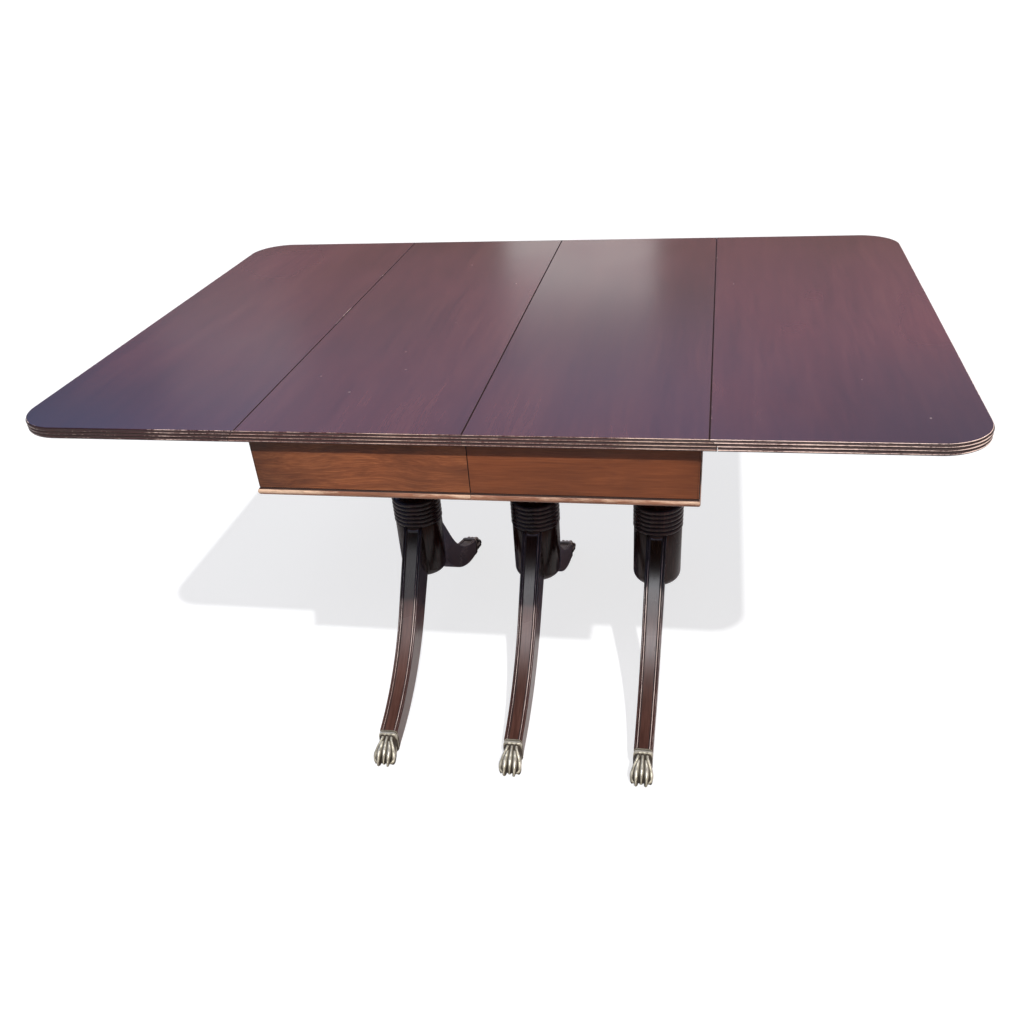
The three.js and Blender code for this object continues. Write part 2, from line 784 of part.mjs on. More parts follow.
const column_shape = column();
const leg_shape = leg();
const cap_shape = pawCap();

function pedestal(name, x) {
  const group = new THREE.Group();
  group.position.x = x;
  group.add(piece(`${name}_column`, column_shape, turned_mahogany));
  for (const [place, turn] of [['front', 0], ['back', Math.PI]]) {
    const swept = new THREE.Group();
    swept.rotation.z = turn;
    swept.add(piece(`${name}_${place}_leg`, leg_shape, turned_mahogany));
    swept.add(piece(`${name}_${place}_paw_cap`, cap_shape, cast_brass));
    group.add(swept);
  }
  return group;
}

// One half of the table without its pedestal. The left half is the same half turned round.
function halfFrame(name, side) {
  const group = new THREE.Group();
  group.rotation.z = side > 0 ? 0 : Math.PI;
  const place = (y) => (y * side < 0 ? 'front' : 'back');
  group.add(piece(`${name}_half_top`, halfTop(side < 0), top_mahogany));
  group.add(piece(`${name}_drop_leaf`, dropLeaf(), top_mahogany));
  group.add(piece(`${name}_end_apron`, endApron(), apron_mahogany));
  group.add(piece(`${name}_end_bead`, endBead(), apron_mahogany));
  const bearer_shape = bearer(apron_inside - joint_gap);
  group.add(piece(`${name}_bearer`, bearer_shape, slide_wood, pedestal_spacing));
  for (const y of [-1, 1]) {
    const turned_group = new THREE.Group();
    turned_group.scale.y = -y;
    turned_group.add(piece(`${name}_${place(y)}_apron`, longApron(), apron_mahogany));
    turned_group.add(piece(`${name}_${place(y)}_bead`, longBead(), apron_mahogany));
    group.add(turned_group);
    group.add(piece(`${name}_${place(y)}_loper`, loper(), slide_wood, 0, y * loper_offset));
    group.add(piece(`${name}_${place(y)}_loper_guide`, loperGuide(), slide_wood, 0, y * loper_offset));
    const step = slide_width + running_gap;
    const slide_y = slide_offset - side * step;
    const slide = runningSlide(y * side);
    group.add(piece(`${name}_${place(y)}_slide`, slide, slide_wood, 0, y * slide_y));
  }
  for (const share of hinge_offsets_share) {
    const spot = share === 0 ? 'middle' : place(share);
    const y = share * half_depth;
    group.add(piece(`${name}_${spot}_hinge_plate`, hingeHalf(true), hinge_iron, 0, y));
    group.add(piece(`${name}_${spot}_hinge_flap`, hingeHalf(false), hinge_iron, 0, y));
  }
  return group;
}

function middleFrame() {
  const group = new THREE.Group();
  for (const [place, y] of [['front', -slide_offset], ['back', slide_offset]]) {
    group.add(piece(`centre_${place}_slide`, fixedSlide(), slide_wood, 0, y));
  }
  group.add(piece('centre_bearer', bearer(slide_offset + slide_width / 2), slide_wood));
  return group;
}

const table = new THREE.Group();
table.add(
  halfFrame('left', -1), halfFrame('right', 1), middleFrame(),
  pedestal('left', -pedestal_spacing), pedestal('centre', 0), pedestal('right', pedestal_spacing),
);

export default table;
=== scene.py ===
import itertools
import json
import math
from collections import namedtuple

import bmesh
import bpy
from mathutils import Matrix, Vector


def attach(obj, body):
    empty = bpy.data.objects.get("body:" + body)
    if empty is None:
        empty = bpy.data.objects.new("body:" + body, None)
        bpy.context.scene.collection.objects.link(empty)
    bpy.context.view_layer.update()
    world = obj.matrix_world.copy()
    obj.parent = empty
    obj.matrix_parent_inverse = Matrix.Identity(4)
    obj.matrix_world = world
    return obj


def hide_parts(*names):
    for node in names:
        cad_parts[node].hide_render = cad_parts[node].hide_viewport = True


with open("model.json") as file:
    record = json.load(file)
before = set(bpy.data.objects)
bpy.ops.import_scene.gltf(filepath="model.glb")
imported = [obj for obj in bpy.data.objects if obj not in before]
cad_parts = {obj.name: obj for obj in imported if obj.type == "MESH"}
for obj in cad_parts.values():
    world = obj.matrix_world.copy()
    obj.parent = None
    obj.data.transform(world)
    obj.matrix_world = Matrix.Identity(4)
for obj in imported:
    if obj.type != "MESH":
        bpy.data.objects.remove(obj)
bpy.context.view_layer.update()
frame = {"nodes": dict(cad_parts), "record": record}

MM = 0.001

# Sizes of the table, in metres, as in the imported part
TOP = 0.740
HALF_DEPTH = 0.508
HALF_WIDTH = 0.3365
LEAF_WIDTH = 0.3675
THICKNESS = 0.017
CORNER = 0.076
ARRIS_INSET, ARRIS_HEIGHT = 0.0015, 0.0016
REED_DEPTH, REEDS = 0.0019, 3
SPLIT = 0.0003
SEAM_GAP = 0.0004
PIN_LEVEL = 0.726
RULE_RADIUS, COVE_RADIUS = 0.011, 0.0118
APRON_FACE, APRON_INSIDE = 0.488, 0.468
APRON_END, APRON_END_INSIDE = 0.327, 0.307
APRON_TOP, APRON_BOTTOM = 0.7227, 0.641
BEAD_FACE, BEAD_END = 0.491, 0.330
BEAD_BOTTOM, BEAD_HEIGHT = 0.6282, 0.0125
MITRE = 0.00021
BARREL_RADIUS, BARREL_BOTTOM, BARREL_ROUND = 0.0485, 0.194, 0.020
COLLAR_BOTTOM, RING_PITCH, RINGS = 0.318, 0.0093, 6
COLUMN_TOP = 0.6437
LEG_TOP, LEG_SLOPE, FOOT_SLOPE = 0.316, math.radians(51.5), math.radians(15)
LEG_ROOT, LEG_FOOT, LEG_TAPER = (0.040, 0.070), (0.036, 0.040), 1.3
CAP_MOUTH, CAP_TOP, CAP_WIDTH = 0.366, 0.0445, 0.045

# Signs of the halves and faces, and where the pedestals stand along the table, and the hinges and
# the line-up pegs across it
HALVES = {"left": -1, "right": 1}
FACES = {"front": -1, "back": 1}
PEDESTALS = {"left": -0.25, "centre": 0.0, "right": 0.25}
HINGES = {"front": -0.79 * HALF_DEPTH, "middle": 0.0 * HALF_DEPTH, "back": 0.79 * HALF_DEPTH}
PEGS = (-0.69 * HALF_DEPTH, 0.0 * HALF_DEPTH, 0.69 * HALF_DEPTH)

# Room for the pegs and the hinges: its half width, its reach from the seam, its floor and its roofs
PEG_ROOM, PEG_HOLE_START, PEG_HOLE_END = 5 * MM, -0.001, 0.0187
HINGE_ROOM, PLATE_REACH, FLAP_REACH, KNUCKLE_REACH = 32.3 * MM, 38.3 * MM, 60.3 * MM, 4 * MM
HINGE_FLOOR, HINGE_ROOF, KNUCKLE_ROOF = 0.718, 0.7252, 0.730
ROUND_REACH_END, ROUND_ROOF = 0.353, 0.7256


def body_of(node):
    """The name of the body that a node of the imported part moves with"""
    for body, members in frame["record"]["behaviour"]["bodies"].items():
        if node in members:
            return body
    raise KeyError(node)


# Shader nodes

BLACK = (0.006, 0.004, 0.004, 1)
SCUFF = (0.5, 0.4, 0.36, 1)


def linear(red, green, blue):
    """A colour written in display values of 0 to 255, as the shaders take it"""
    def channel(value):
        value /= 255
        return value / 12.92 if value <= 0.04045 else ((value + 0.055) / 1.055) ** 2.4
    return (channel(red), channel(green), channel(blue), 1)


def grey(value):
    return (value, value, value, 1)


class Paint:
    """One material or world and short calls that add nodes to it"""

    def __init__(self, owner):
        self.owner = owner
        owner.use_nodes = True
        self.tree = owner.node_tree

    def node(self, kind, inputs=None, **settings):
        made = self.tree.nodes.new("ShaderNode" + kind)
        for key, value in settings.items():
            setattr(made, key, value)
        for key, value in (inputs or {}).items():
            self.put(made, key, value)
        return made

    def put(self, made, key, value):
        if isinstance(value, bpy.types.NodeSocket):
            self.tree.links.new(value, made.inputs[key])
        else:
            made.inputs[key].default_value = value

    def vector(self, name):
        return self.node("Attribute", attribute_name=name).outputs["Vector"]

    def value(self, name):
        return self.node("Attribute", attribute_name=name).outputs["Fac"]

    def stretch(self, vector, scale, shift=(0, 0, 0)):
        inputs = {"Vector": vector, "Scale": scale, "Location": shift}
        return self.node("Mapping", inputs).outputs[0]

    def noise(self, vector, scale, detail=4.0, roughness=0.55, distortion=0.0):
        made = self.node("TexNoise", {
            "Vector": vector, "Scale": scale, "Detail": detail, "Roughness": roughness,
            "Distortion": distortion,
        })
        return made.outputs[0]

    def warp(self, vector, scale, noise_scale, amount):
        """The vector pushed about by a soft noise, by up to the amount in metres"""
        made = self.node("TexNoise", {
            "Vector": self.stretch(vector, scale), "Scale": noise_scale, "Detail": 2.0,
        })
        centred = self.vectors("SUBTRACT", {0: made.outputs["Color"], 1: (0.5, 0.5, 0.5)})
        pushed = self.vectors("SCALE", {0: centred, "Scale": amount})
        return self.vectors("ADD", {0: vector, 1: pushed})

    def spots(self, vector, scale, radius):
        """1 in small round spots, one or none in each cell, and 0 elsewhere"""
        cells = self.node("TexVoronoi", {"Vector": vector, "Scale": scale, "Randomness": 1.0})
        return self.span(cells.outputs["Distance"], radius, radius * 0.4)

    def span(self, value, low, high, to_low=0.0, to_high=1.0, kind="LINEAR"):
        """The value mapped from low..high and held between the new ends"""
        made = self.node("MapRange", {
            "Value": value, "From Min": low, "From Max": high, "To Min": to_low, "To Max": to_high,
        }, clamp=True, interpolation_type=kind)
        return made.outputs[0]

    def combine(self, operation, a, b):
        made = self.node("Math", operation=operation)
        self.put(made, 0, a)
        self.put(made, 1, b)
        return made.outputs[0]

    def plus(self, a, b):
        return self.combine("ADD", a, b)

    def minus(self, a, b):
        return self.combine("SUBTRACT", a, b)

    def times(self, a, b):
        return self.combine("MULTIPLY", a, b)

    def vectors(self, operation, inputs, output="Vector"):
        return self.node("VectorMath", inputs, operation=operation).outputs[output]

    def ramp(self, value, stops):
        made = self.node("ValToRGB", {"Fac": value})
        line = made.color_ramp
        while len(line.elements) < len(stops):
            line.elements.new(0.5)
        for element, (place, colour) in zip(line.elements, stops):
            element.position = place
            element.color = colour
        return made.outputs["Color"]

    def mix(self, share, a, b, kind="MIX"):
        made = self.node("Mix", data_type="RGBA", blend_type=kind)
        self.put(made, 0, share)
        self.put(made, 6, a)
        self.put(made, 7, b)
        return made.outputs[2]

    def bump(self, height, strength, distance, normal=None):
        inputs = {"Height": height, "Strength": strength, "Distance": distance}
        if normal is not None:
            inputs["Normal"] = normal
        return self.node("Bump", inputs).outputs["Normal"]

    def finish(self, colour, roughness, normal=None, **settings):
        shader = self.tree.nodes["Principled BSDF"]
        self.put(shader, "Base Color", colour)
        self.put(shader, "Roughness", roughness)
        if normal is not None:
            self.put(shader, "Normal", normal)
        for key, value in settings.items():
            self.put(shader, key.replace("_", " "), value)
        return self.owner


# A place where shade is painted into the wood's colour: weights for x, y and z, centre, near and
# far distance, the share of the colour left there, and the roughness that the wood has more of
# beyond it
PaintedShade = namedtuple("PaintedShade", "weights centre near far share dry")


def wood(name, tones, roughness, figure=6.0, swirl=0.0, mottle=0.35, polish=1.0, worn=None,
         groove=None, rub_from=1.0, broken=1.0, specks=0.0, speck_scale=16, painted_shade=None, **shader):
    """Wood whose grain runs along the third number of the grain attribute

    tones are dark, middle and light. The edge attribute says where the wood is paler, above 0, with
    wear and in places a painted highlight, and where it is darker, below 0, in grooves and in
    places painted shade. A small last number in a stretch makes marks that are long along the
    grain.
    """
    paint = Paint(bpy.data.materials.new(name))
    grain = paint.vector("grain")
    edge = paint.value("edge")
    if swirl:
        grain = paint.warp(grain, (1, 1, 0.5), 9, swirl)
    bands = paint.noise(paint.stretch(grain, (1, 1, 0.08)), figure * 4, 5.0, 0.62, 0.8)
    fine = paint.noise(paint.stretch(grain, (1, 1, 0.045)), figure * 50, 4.0, 0.65)
    patches = paint.noise(paint.stretch(grain, (1, 1, 0.7), (3, 1, 7)), figure * 0.8, 3.0, 0.5)
    pores = paint.span(paint.noise(paint.stretch(grain, (1, 1, 0.035)), 1500, 2.0, 0.5), 0.66, 0.74)
    tone = paint.plus(paint.times(bands, 0.5), paint.times(fine, 0.5))
    colour = paint.ramp(tone, [(0.34, tones[0]), (0.5, tones[1]), (0.66, tones[2])])
    shade = paint.ramp(patches, [(0.3, grey(1 - mottle)), (0.7, grey(1 + mottle))])
    colour = paint.mix(1.0, colour, shade, "MULTIPLY")
    colour = paint.mix(paint.times(pores, 0.35), colour, tones[0])
    # Painted shade: the colour darkens towards the painted-shade place
    if painted_shade:
        spot = paint.stretch(paint.vector("place"), painted_shade.weights)
        away = paint.vectors("DISTANCE", {0: spot, 1: painted_shade.centre}, "Value")
        painted_shade_share = paint.span(away, painted_shade.near, painted_shade.far, painted_shade.share, 1.0, "SMOOTHSTEP")
        colour = paint.vectors("SCALE", {0: colour, "Scale": painted_shade_share})
    rough = paint.span(patches, 0.3, 0.7, roughness * 0.8, roughness * 1.2)
    if painted_shade:
        rough = paint.plus(rough, paint.span(away, painted_shade.near, painted_shade.far, 0.0, painted_shade.dry))
    height = paint.minus(paint.times(fine, 0.25), paint.times(pores, 0.5))
    # Darker where the edge value is below 0: grooves and seams, and painted shade on the board
    # edges' reeds and the bead's top
    if groove:
        dark = paint.span(edge, -0.05, -0.5)
        colour = paint.mix(paint.times(dark, 0.94), colour, groove)
        rough = paint.plus(rough, paint.times(dark, 0.4))
    # Paler where the edge value is high: wear, and a painted highlight on the bead, the leaves and
    # the leg crests
    if worn:
        ragged = paint.noise(paint.stretch(grain, (1, 1, 0.16)), 170, 4.0, 0.75)
        patchy = paint.noise(paint.stretch(grain, (1, 1, 0.6), (2, 8, 1)), 9, 2.0, 0.5)
        uneven = paint.minus(paint.plus(paint.times(ragged, 0.7), patchy), 0.85)
        rub = paint.plus(edge, paint.times(uneven, broken))
        rub = paint.times(paint.span(rub, rub_from, rub_from + 0.25), paint.span(edge, 0.02, 0.1))
        colour = paint.mix(rub, colour, worn)
        rough = paint.plus(rough, paint.times(rub, 0.3))
    if specks:
        cells = paint.stretch(grain, (1, 1, 0.7), (4, 4, 4))
        dots = paint.times(paint.spots(cells, speck_scale, 0.04), paint.span(patches, 0.52, 0.6))
        pits = paint.spots(paint.stretch(grain, (1, 1, 1), (1, 9, 3)), 9, 0.025)
        colour = paint.mix(paint.times(pits, specks), colour, BLACK)
        colour = paint.mix(paint.times(dots, specks), colour, SCUFF)
        height = paint.minus(height, paint.times(pits, specks * 3))
    normal = paint.bump(height, polish, 0.00004)
    return paint.finish(colour, rough, normal, **shader)


def metal(name, tones, roughness, dirt, bright, grit=0.00015):
    """Old metal, dirty in its grooves and rubbed bright on its crests"""
    paint = Paint(bpy.data.materials.new(name))
    place = paint.vector("grain")
    edge = paint.value("edge")
    clouds = paint.noise(place, 60, 5.0, 0.65)
    pits = paint.noise(place, 420, 4.0, 0.7)
    colour = paint.ramp(clouds, [(0.3, tones[0]), (0.5, tones[1]), (0.7, tones[2])])
    grime = paint.span(paint.minus(paint.times(clouds, 0.6), edge), 0.1, 0.8)
    colour = paint.mix(grime, colour, dirt)
    rub = paint.span(paint.plus(edge, paint.times(pits, 0.5)), 0.75, 1.2)
    colour = paint.mix(rub, colour, bright)
    rough = paint.span(pits, 0.3, 0.7, roughness * 0.8, roughness * 1.25)
    rough = paint.plus(rough, paint.times(grime, 0.25))
    shine = paint.span(grime, 0.0, 1.0, 0.5, 0.15)
    normal = paint.bump(paint.plus(pits, clouds), 0.6, grit)
    return paint.finish(colour, rough, normal, Metallic=shine)


# The dark groove colour marks the boards' seams and paints shade on the flanks of their reeds
SCUFFED, DARK_GROOVE = linear(176, 120, 84), linear(44, 26, 20)
BOARDS = dict(
    figure=2.6, swirl=0.03, mottle=0.40, polish=0.15, groove=DARK_GROOVE, specks=0.7, IOR=1.45,
)
APRONS = dict(polish=0.3, worn=SCUFFED, groove=BLACK, rub_from=0.85, IOR=1.35)
MATERIALS = {
    "top": wood(
        "top_mahogany_polish",
        [(0.050, 0.012, 0.013, 1), (0.076, 0.020, 0.020, 1), (0.108, 0.032, 0.028, 1)], 0.24,
        worn=linear(222, 190, 170), rub_from=0.45, broken=1.3, **BOARDS,
    ),
    "leaf": wood(
        "leaf_mahogany_polish",
        [(0.052, 0.012, 0.013, 1), (0.080, 0.020, 0.021, 1), (0.110, 0.033, 0.030, 1)], 0.24,
        # The leaves' worn colour is wear, brightened towards a painted highlight of sun on the
        # reeds
        worn=linear(244, 214, 198), rub_from=0.38, broken=1.9,
        # Painted shade: the leaves' colour darkens towards their outer front corners
        painted_shade=PaintedShade((1, 1, 0), (0.70, -0.52, 0), near=0.0, far=0.48, share=0.3, dry=0.0), **BOARDS,
    ),
    "apron": wood(
        "apron_mahogany_polish",
        [linear(94, 49, 26), linear(116, 62, 34), linear(134, 75, 43)], 0.34,
        figure=9.0, swirl=0.02, mottle=0.1, specks=0.3,
        # Painted shadow: the colour darkens along the top of the aprons near the table's ends,
        # under the top's overhang
        painted_shade=PaintedShade((1, 0, 0.6), (0.335, 0, 0.42), near=0.0, far=0.07, share=0.68, dry=0.0), **APRONS,
    ),
    "figured": wood(
        "apron_mahogany_figured",
        [linear(86, 46, 27), linear(118, 66, 39), linear(154, 92, 56)], 0.34,
        figure=12.0, swirl=0.05, mottle=0.26, specks=0.5,
        # Painted shadow: the colour darkens along the top of the figured aprons towards the table's
        # ends
        painted_shade=PaintedShade((1, 0, 0.8), (0.35, 0, 0.57), near=0.0, far=0.15, share=0.5, dry=0.0), **APRONS,
    ),
    "bead": wood(
        "bead_mahogany_polish",
        [linear(104, 64, 46), linear(156, 106, 80), linear(192, 142, 112)], 0.4,
        # The worn colour paints the bead's highlight, and the groove colour the shadow under its
        # quirk
        figure=7.0, mottle=0.26, polish=0.3, worn=linear(226, 192, 162), groove=linear(30, 16, 12),
        rub_from=0.25, IOR=1.4,
    ),
    "turned": wood(
        "turned_mahogany_polish",
        [(0.006, 0.003, 0.003, 1), (0.024, 0.008, 0.006, 1), (0.064, 0.021, 0.015, 1)], 0.24,
        figure=7.0, mottle=0.4, polish=0.15, worn=linear(70, 40, 34), groove=BLACK, rub_from=0.95,
        IOR=1.33,
    ),
    "leg": wood(
        "leg_mahogany_polish",
        [(0.038, 0.015, 0.011, 1), (0.070, 0.029, 0.021, 1), (0.108, 0.050, 0.038, 1)], 0.16,
        # The pale worn colour of the reed crests is wear, whitened towards a painted highlight
        figure=9.0, mottle=0.3, polish=1.2, worn=linear(236, 216, 204), groove=BLACK, rub_from=0.27,
        specks=0.8, speck_scale=45,
        # Painted shade: the colour darkens towards the top of the leg, under the table, and the
        # roughness grows lower down
        painted_shade=PaintedShade((0, 0, 1), (0, 0, 0.32), near=0.08, far=0.16, share=0.25, dry=0.14), IOR=1.45,
    ),
    "slide": wood(
        "slide_wood_dry",
        [linear(96, 66, 42), linear(132, 96, 64), linear(160, 122, 86)], 0.62,
        figure=6.0, mottle=0.15, polish=1.0,
    ),
    "brass": metal(
        "paw_brass_aged",
        [linear(128, 121, 103), linear(157, 150, 130), linear(184, 177, 156)], 0.42,
        linear(54, 45, 33), linear(212, 206, 190),
    ),
    "iron": metal(
        "hinge_iron_dark",
        [linear(58, 54, 50), linear(76, 71, 66), linear(96, 90, 84)], 0.5,
        linear(28, 22, 18), linear(130, 124, 116),
    ),
}


# Meshes

SMOOTH_ANGLE = 35


def add(name, data):
    """A new object in the scene"""
    made = bpy.data.objects.new(name, data)
    bpy.context.scene.collection.objects.link(made)
    return made


def mesh_of(work, name):
    mesh = bpy.data.meshes.new(name)
    work.to_mesh(mesh)
    work.free()
    return mesh


def write(mesh, name, values):
    """Stores values for the shaders, one or three for each point"""
    single = len(values) == len(mesh.vertices)
    attribute = mesh.attributes.new(name, "FLOAT" if single else "FLOAT_VECTOR", "POINT")
    attribute.data.foreach_set("value" if single else "vector", values)


def settle(name, verts, faces, edge=None, angle=SMOOTH_ANGLE):
    """An object of these faces, turned outwards, smooth but for edges sharper than the angle"""
    mesh = bpy.data.meshes.new(name)
    mesh.from_pydata([tuple(v) for v in verts], [], faces)
    if edge is not None:
        write(mesh, "edge", edge)
    tidy(mesh, angle)
    return add(name, mesh)


def tidy(mesh, angle):
    """Turns the faces outwards and shades them smooth but for the sharp edges"""
    work = bmesh.new()
    work.from_mesh(mesh)
    bmesh.ops.recalc_face_normals(work, faces=work.faces)
    work.to_mesh(mesh)
    work.free()
    mesh.shade_smooth()
    mesh.set_sharp_from_angle(angle=math.radians(angle))


def loft(name, rings, edges, angle=SMOOTH_ANGLE):
    """A skin over closed rings of equally many points, with a face over each end"""
    count = len(rings[0])
    faces = []
    for r in range(len(rings) - 1):
        for i in range(count):
            a, b = r * count + i, r * count + (i + 1) % count
            faces.append((a, b, b + count, a + count))
    last = (len(rings) - 1) * count
    faces.append(tuple(range(count)))
    faces.append(tuple(last + i for i in range(count)))
    edge = [value for row in edges for value in row]
    return settle(name, [p for ring in rings for p in ring], faces, edge, angle)


def wear(made, grain, shift):
    """Writes the grain coordinates of each point, and an even edge value where there is none yet"""
    mesh = made.data
    values = []
    for vertex in mesh.vertices:
        values.extend(a + b for a, b in zip(grain(vertex.co), shift))
    write(mesh, "grain", values)
    if "edge" not in mesh.attributes:
        write(mesh, "edge", [0.0] * len(mesh.vertices))


# The grain coordinates of a point in wood whose grain runs along x, y or z

def along_x(p):
    return (p.y, p.z, p.x)


def along_y(p):
    return (p.x, p.z, p.y)


def along_z(p):
    return (p.x, p.y, p.z)


def smooth(t):
    """From 0 to 1 with t, level at both ends"""
    t = min(max(t, 0.0), 1.0)
    return t * t * (3 - 2 * t)


def bell(t):
    """1 at 0, falling away on both sides"""
    return math.exp(-t * t)


piece_numbers = itertools.count(1)


def fix_on(made, node, material, grain):
    """The piece rides with the node's body, with its own stretch of grain"""
    number = next(piece_numbers)
    shift = (0.37 * number % 5, 0.53 * number % 3, 0.71 * number % 4)
    if "grain" not in made.data.attributes:
        wear(made, grain, shift)
    place = [value for v in made.data.vertices for value in (abs(v.co.x), v.co.y, v.co.z)]
    write(made.data, "place", place)
    made.data.materials.clear()
    made.data.materials.append(MATERIALS[material])
    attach(made, body_of(node))
    return made


def stand_for(made, node, material, grain):
    """The piece rides with the node's body and takes the node's place"""
    fix_on(made, node, material, grain)
    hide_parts(node)
    return made


def half_turn(made):
    """Turns a piece made at the right or at the front to the left or the back"""
    made.data.transform(Matrix.Rotation(math.pi, 4, "Z"))


def carve(made, boxes):
    """Cuts boxes of (low corner, high corner) out of a piece"""
    cutters = []
    for low, high in boxes:
        work = bmesh.new()
        bmesh.ops.create_cube(work, size=1.0)
        middle = [(a + b) / 2 for a, b in zip(low, high)]
        for vertex in work.verts:
            vertex.co = Vector(m + c * (b - a) for m, c, a, b in zip(middle, vertex.co, low, high))
        cutter = add("cutter", mesh_of(work, "cutter"))
        cutters.append(cutter)
        modifier = made.modifiers.new("carve", "BOOLEAN")
        modifier.operation = "DIFFERENCE"
        modifier.solver = "EXACT"
        modifier.object = cutter
    bpy.context.view_layer.update()
    carved = made.evaluated_get(bpy.context.evaluated_depsgraph_get())
    mesh = bpy.data.meshes.new_from_object(carved)
    made.modifiers.clear()
    made.data = mesh
    mesh.set_sharp_from_angle(angle=math.radians(SMOOTH_ANGLE))
    for cutter in cutters:
        bpy.data.meshes.remove(cutter.data)
    return made


# Boards of the top

REED_PITCH = (THICKNESS - ARRIS_HEIGHT) / REEDS
SEAM_LIP = 0.5 * MM
RULE_STEPS, CORNER_STEPS = 12, 20
LEAST_STEP = 0.02 * MM


def reed_levels(steps=10):
    """Down a board's edge: depth under the top face, inset from the outermost line, edge value
    there (wear at the arris and the crests, painted shade on the reeds' flanks) and edge value at a
    seam"""
    rows = [
        (0.0, ARRIS_INSET + 3 * MM, 0.0, 0.0), (0.0, ARRIS_INSET + 1.5 * MM, 0.0, 0.2),
        (0.0, ARRIS_INSET + 0.9 * MM, 0.2, -0.4), (0.12 * MM, ARRIS_INSET + 0.45 * MM, 0.6, -0.9),
        (0.35 * MM, ARRIS_INSET + 0.15 * MM, 0.7, -1.0), (0.7 * MM, ARRIS_INSET, 0.4, -1.0),
        (ARRIS_HEIGHT, ARRIS_INSET, -0.6, -1.0),
    ]
    for reed in range(REEDS):
        for i in range(0 if reed == 0 else 1, steps + 1):
            angle = math.pi * i / steps
            depth = ARRIS_HEIGHT + REED_PITCH * (reed + (1 - math.cos(angle)) / 2)
            # Painted shade: each reed takes the dark groove colour but for a narrow worn line along
            # its crest
            worn = 1.8 * math.sin(angle) ** 9 - 1.0
            rows.append((depth, REED_DEPTH * (1 - math.sin(angle)), worn, -1.0))
    return rows


def board_levels():
    """The reeds' levels with those of the rule joint's round and cove added, the flat face first"""
    rows = reed_levels()
    extra = [
        TOP - PIN_LEVEL - radius * math.sin(math.pi / 2 * i / RULE_STEPS)
        for radius in (RULE_RADIUS, COVE_RADIUS) for i in range(RULE_STEPS + 1)
    ]
    for depth in extra:
        above = [row for row in rows if row[0] <= depth][-1]
        below = [row for row in rows if row[0] > depth]
        if not below or depth - above[0] < LEAST_STEP or below[0][0] - depth < LEAST_STEP:
            continue
        share = (depth - above[0]) / (below[0][0] - above[0])
        rows.append((depth, *(a + (b - a) * share for a, b in zip(above[1:], below[0][1:]))))
        rows.sort(key=lambda row: (row[0], -row[1]))
    return rows


def hinge_room(spans):
    """Boxes cut for the hinges, one at each hinge for each span of near end, far end and roof"""
    return [
        ((near, y - HINGE_ROOM, HINGE_FLOOR), (far, y + HINGE_ROOM, roof))
        for y in HINGES.values() for near, far, roof in spans
    ]


def half_top(node, side):
    """One half of the fixed top, reeded in front and behind, with the round of the rule joint"""
    rings, edges = [], []
    for depth, inset, edge, seam in board_levels():
        level = TOP - depth
        reach = HALF_DEPTH - inset
        bevel = max(0.0, inset - ARRIS_INSET) if depth < ARRIS_HEIGHT else 0.0
        inner = SPLIT + bevel
        outer = HALF_WIDTH - bevel
        if level < PIN_LEVEL + RULE_RADIUS:
            outer = HALF_WIDTH + math.sqrt(RULE_RADIUS ** 2 - (level - PIN_LEVEL) ** 2)
        plan = [
            (inner, -reach, edge), (outer, -reach, edge),
            (outer, SEAM_LIP - reach, seam), (outer, reach - SEAM_LIP, seam),
            (outer, reach, edge), (inner, reach, edge),
            (inner, reach - SEAM_LIP, seam), (inner, SEAM_LIP - reach, seam),
        ]
        rings.append([(x, y, level) for x, y, _ in plan])
        edges.append([value for _, _, value in plan])
    made = loft(node + "_board", rings, edges)
    boxes = hinge_room([
        (HALF_WIDTH - PLATE_REACH, HALF_WIDTH, HINGE_ROOF),
        (HALF_WIDTH - KNUCKLE_REACH, HALF_WIDTH + KNUCKLE_REACH, KNUCKLE_ROOF),
        (HALF_WIDTH, ROUND_REACH_END, ROUND_ROOF),
    ])
    if side > 0:
        z = TOP - THICKNESS / 2
        for y in PEGS:
            low = (PEG_HOLE_START, y - PEG_ROOM, z - PEG_ROOM)
            boxes.append((low, (PEG_HOLE_END, y + PEG_ROOM, z + PEG_ROOM)))
    carve(made, boxes)
    if side < 0:
        half_turn(made)
    return stand_for(made, node, "top", along_y)


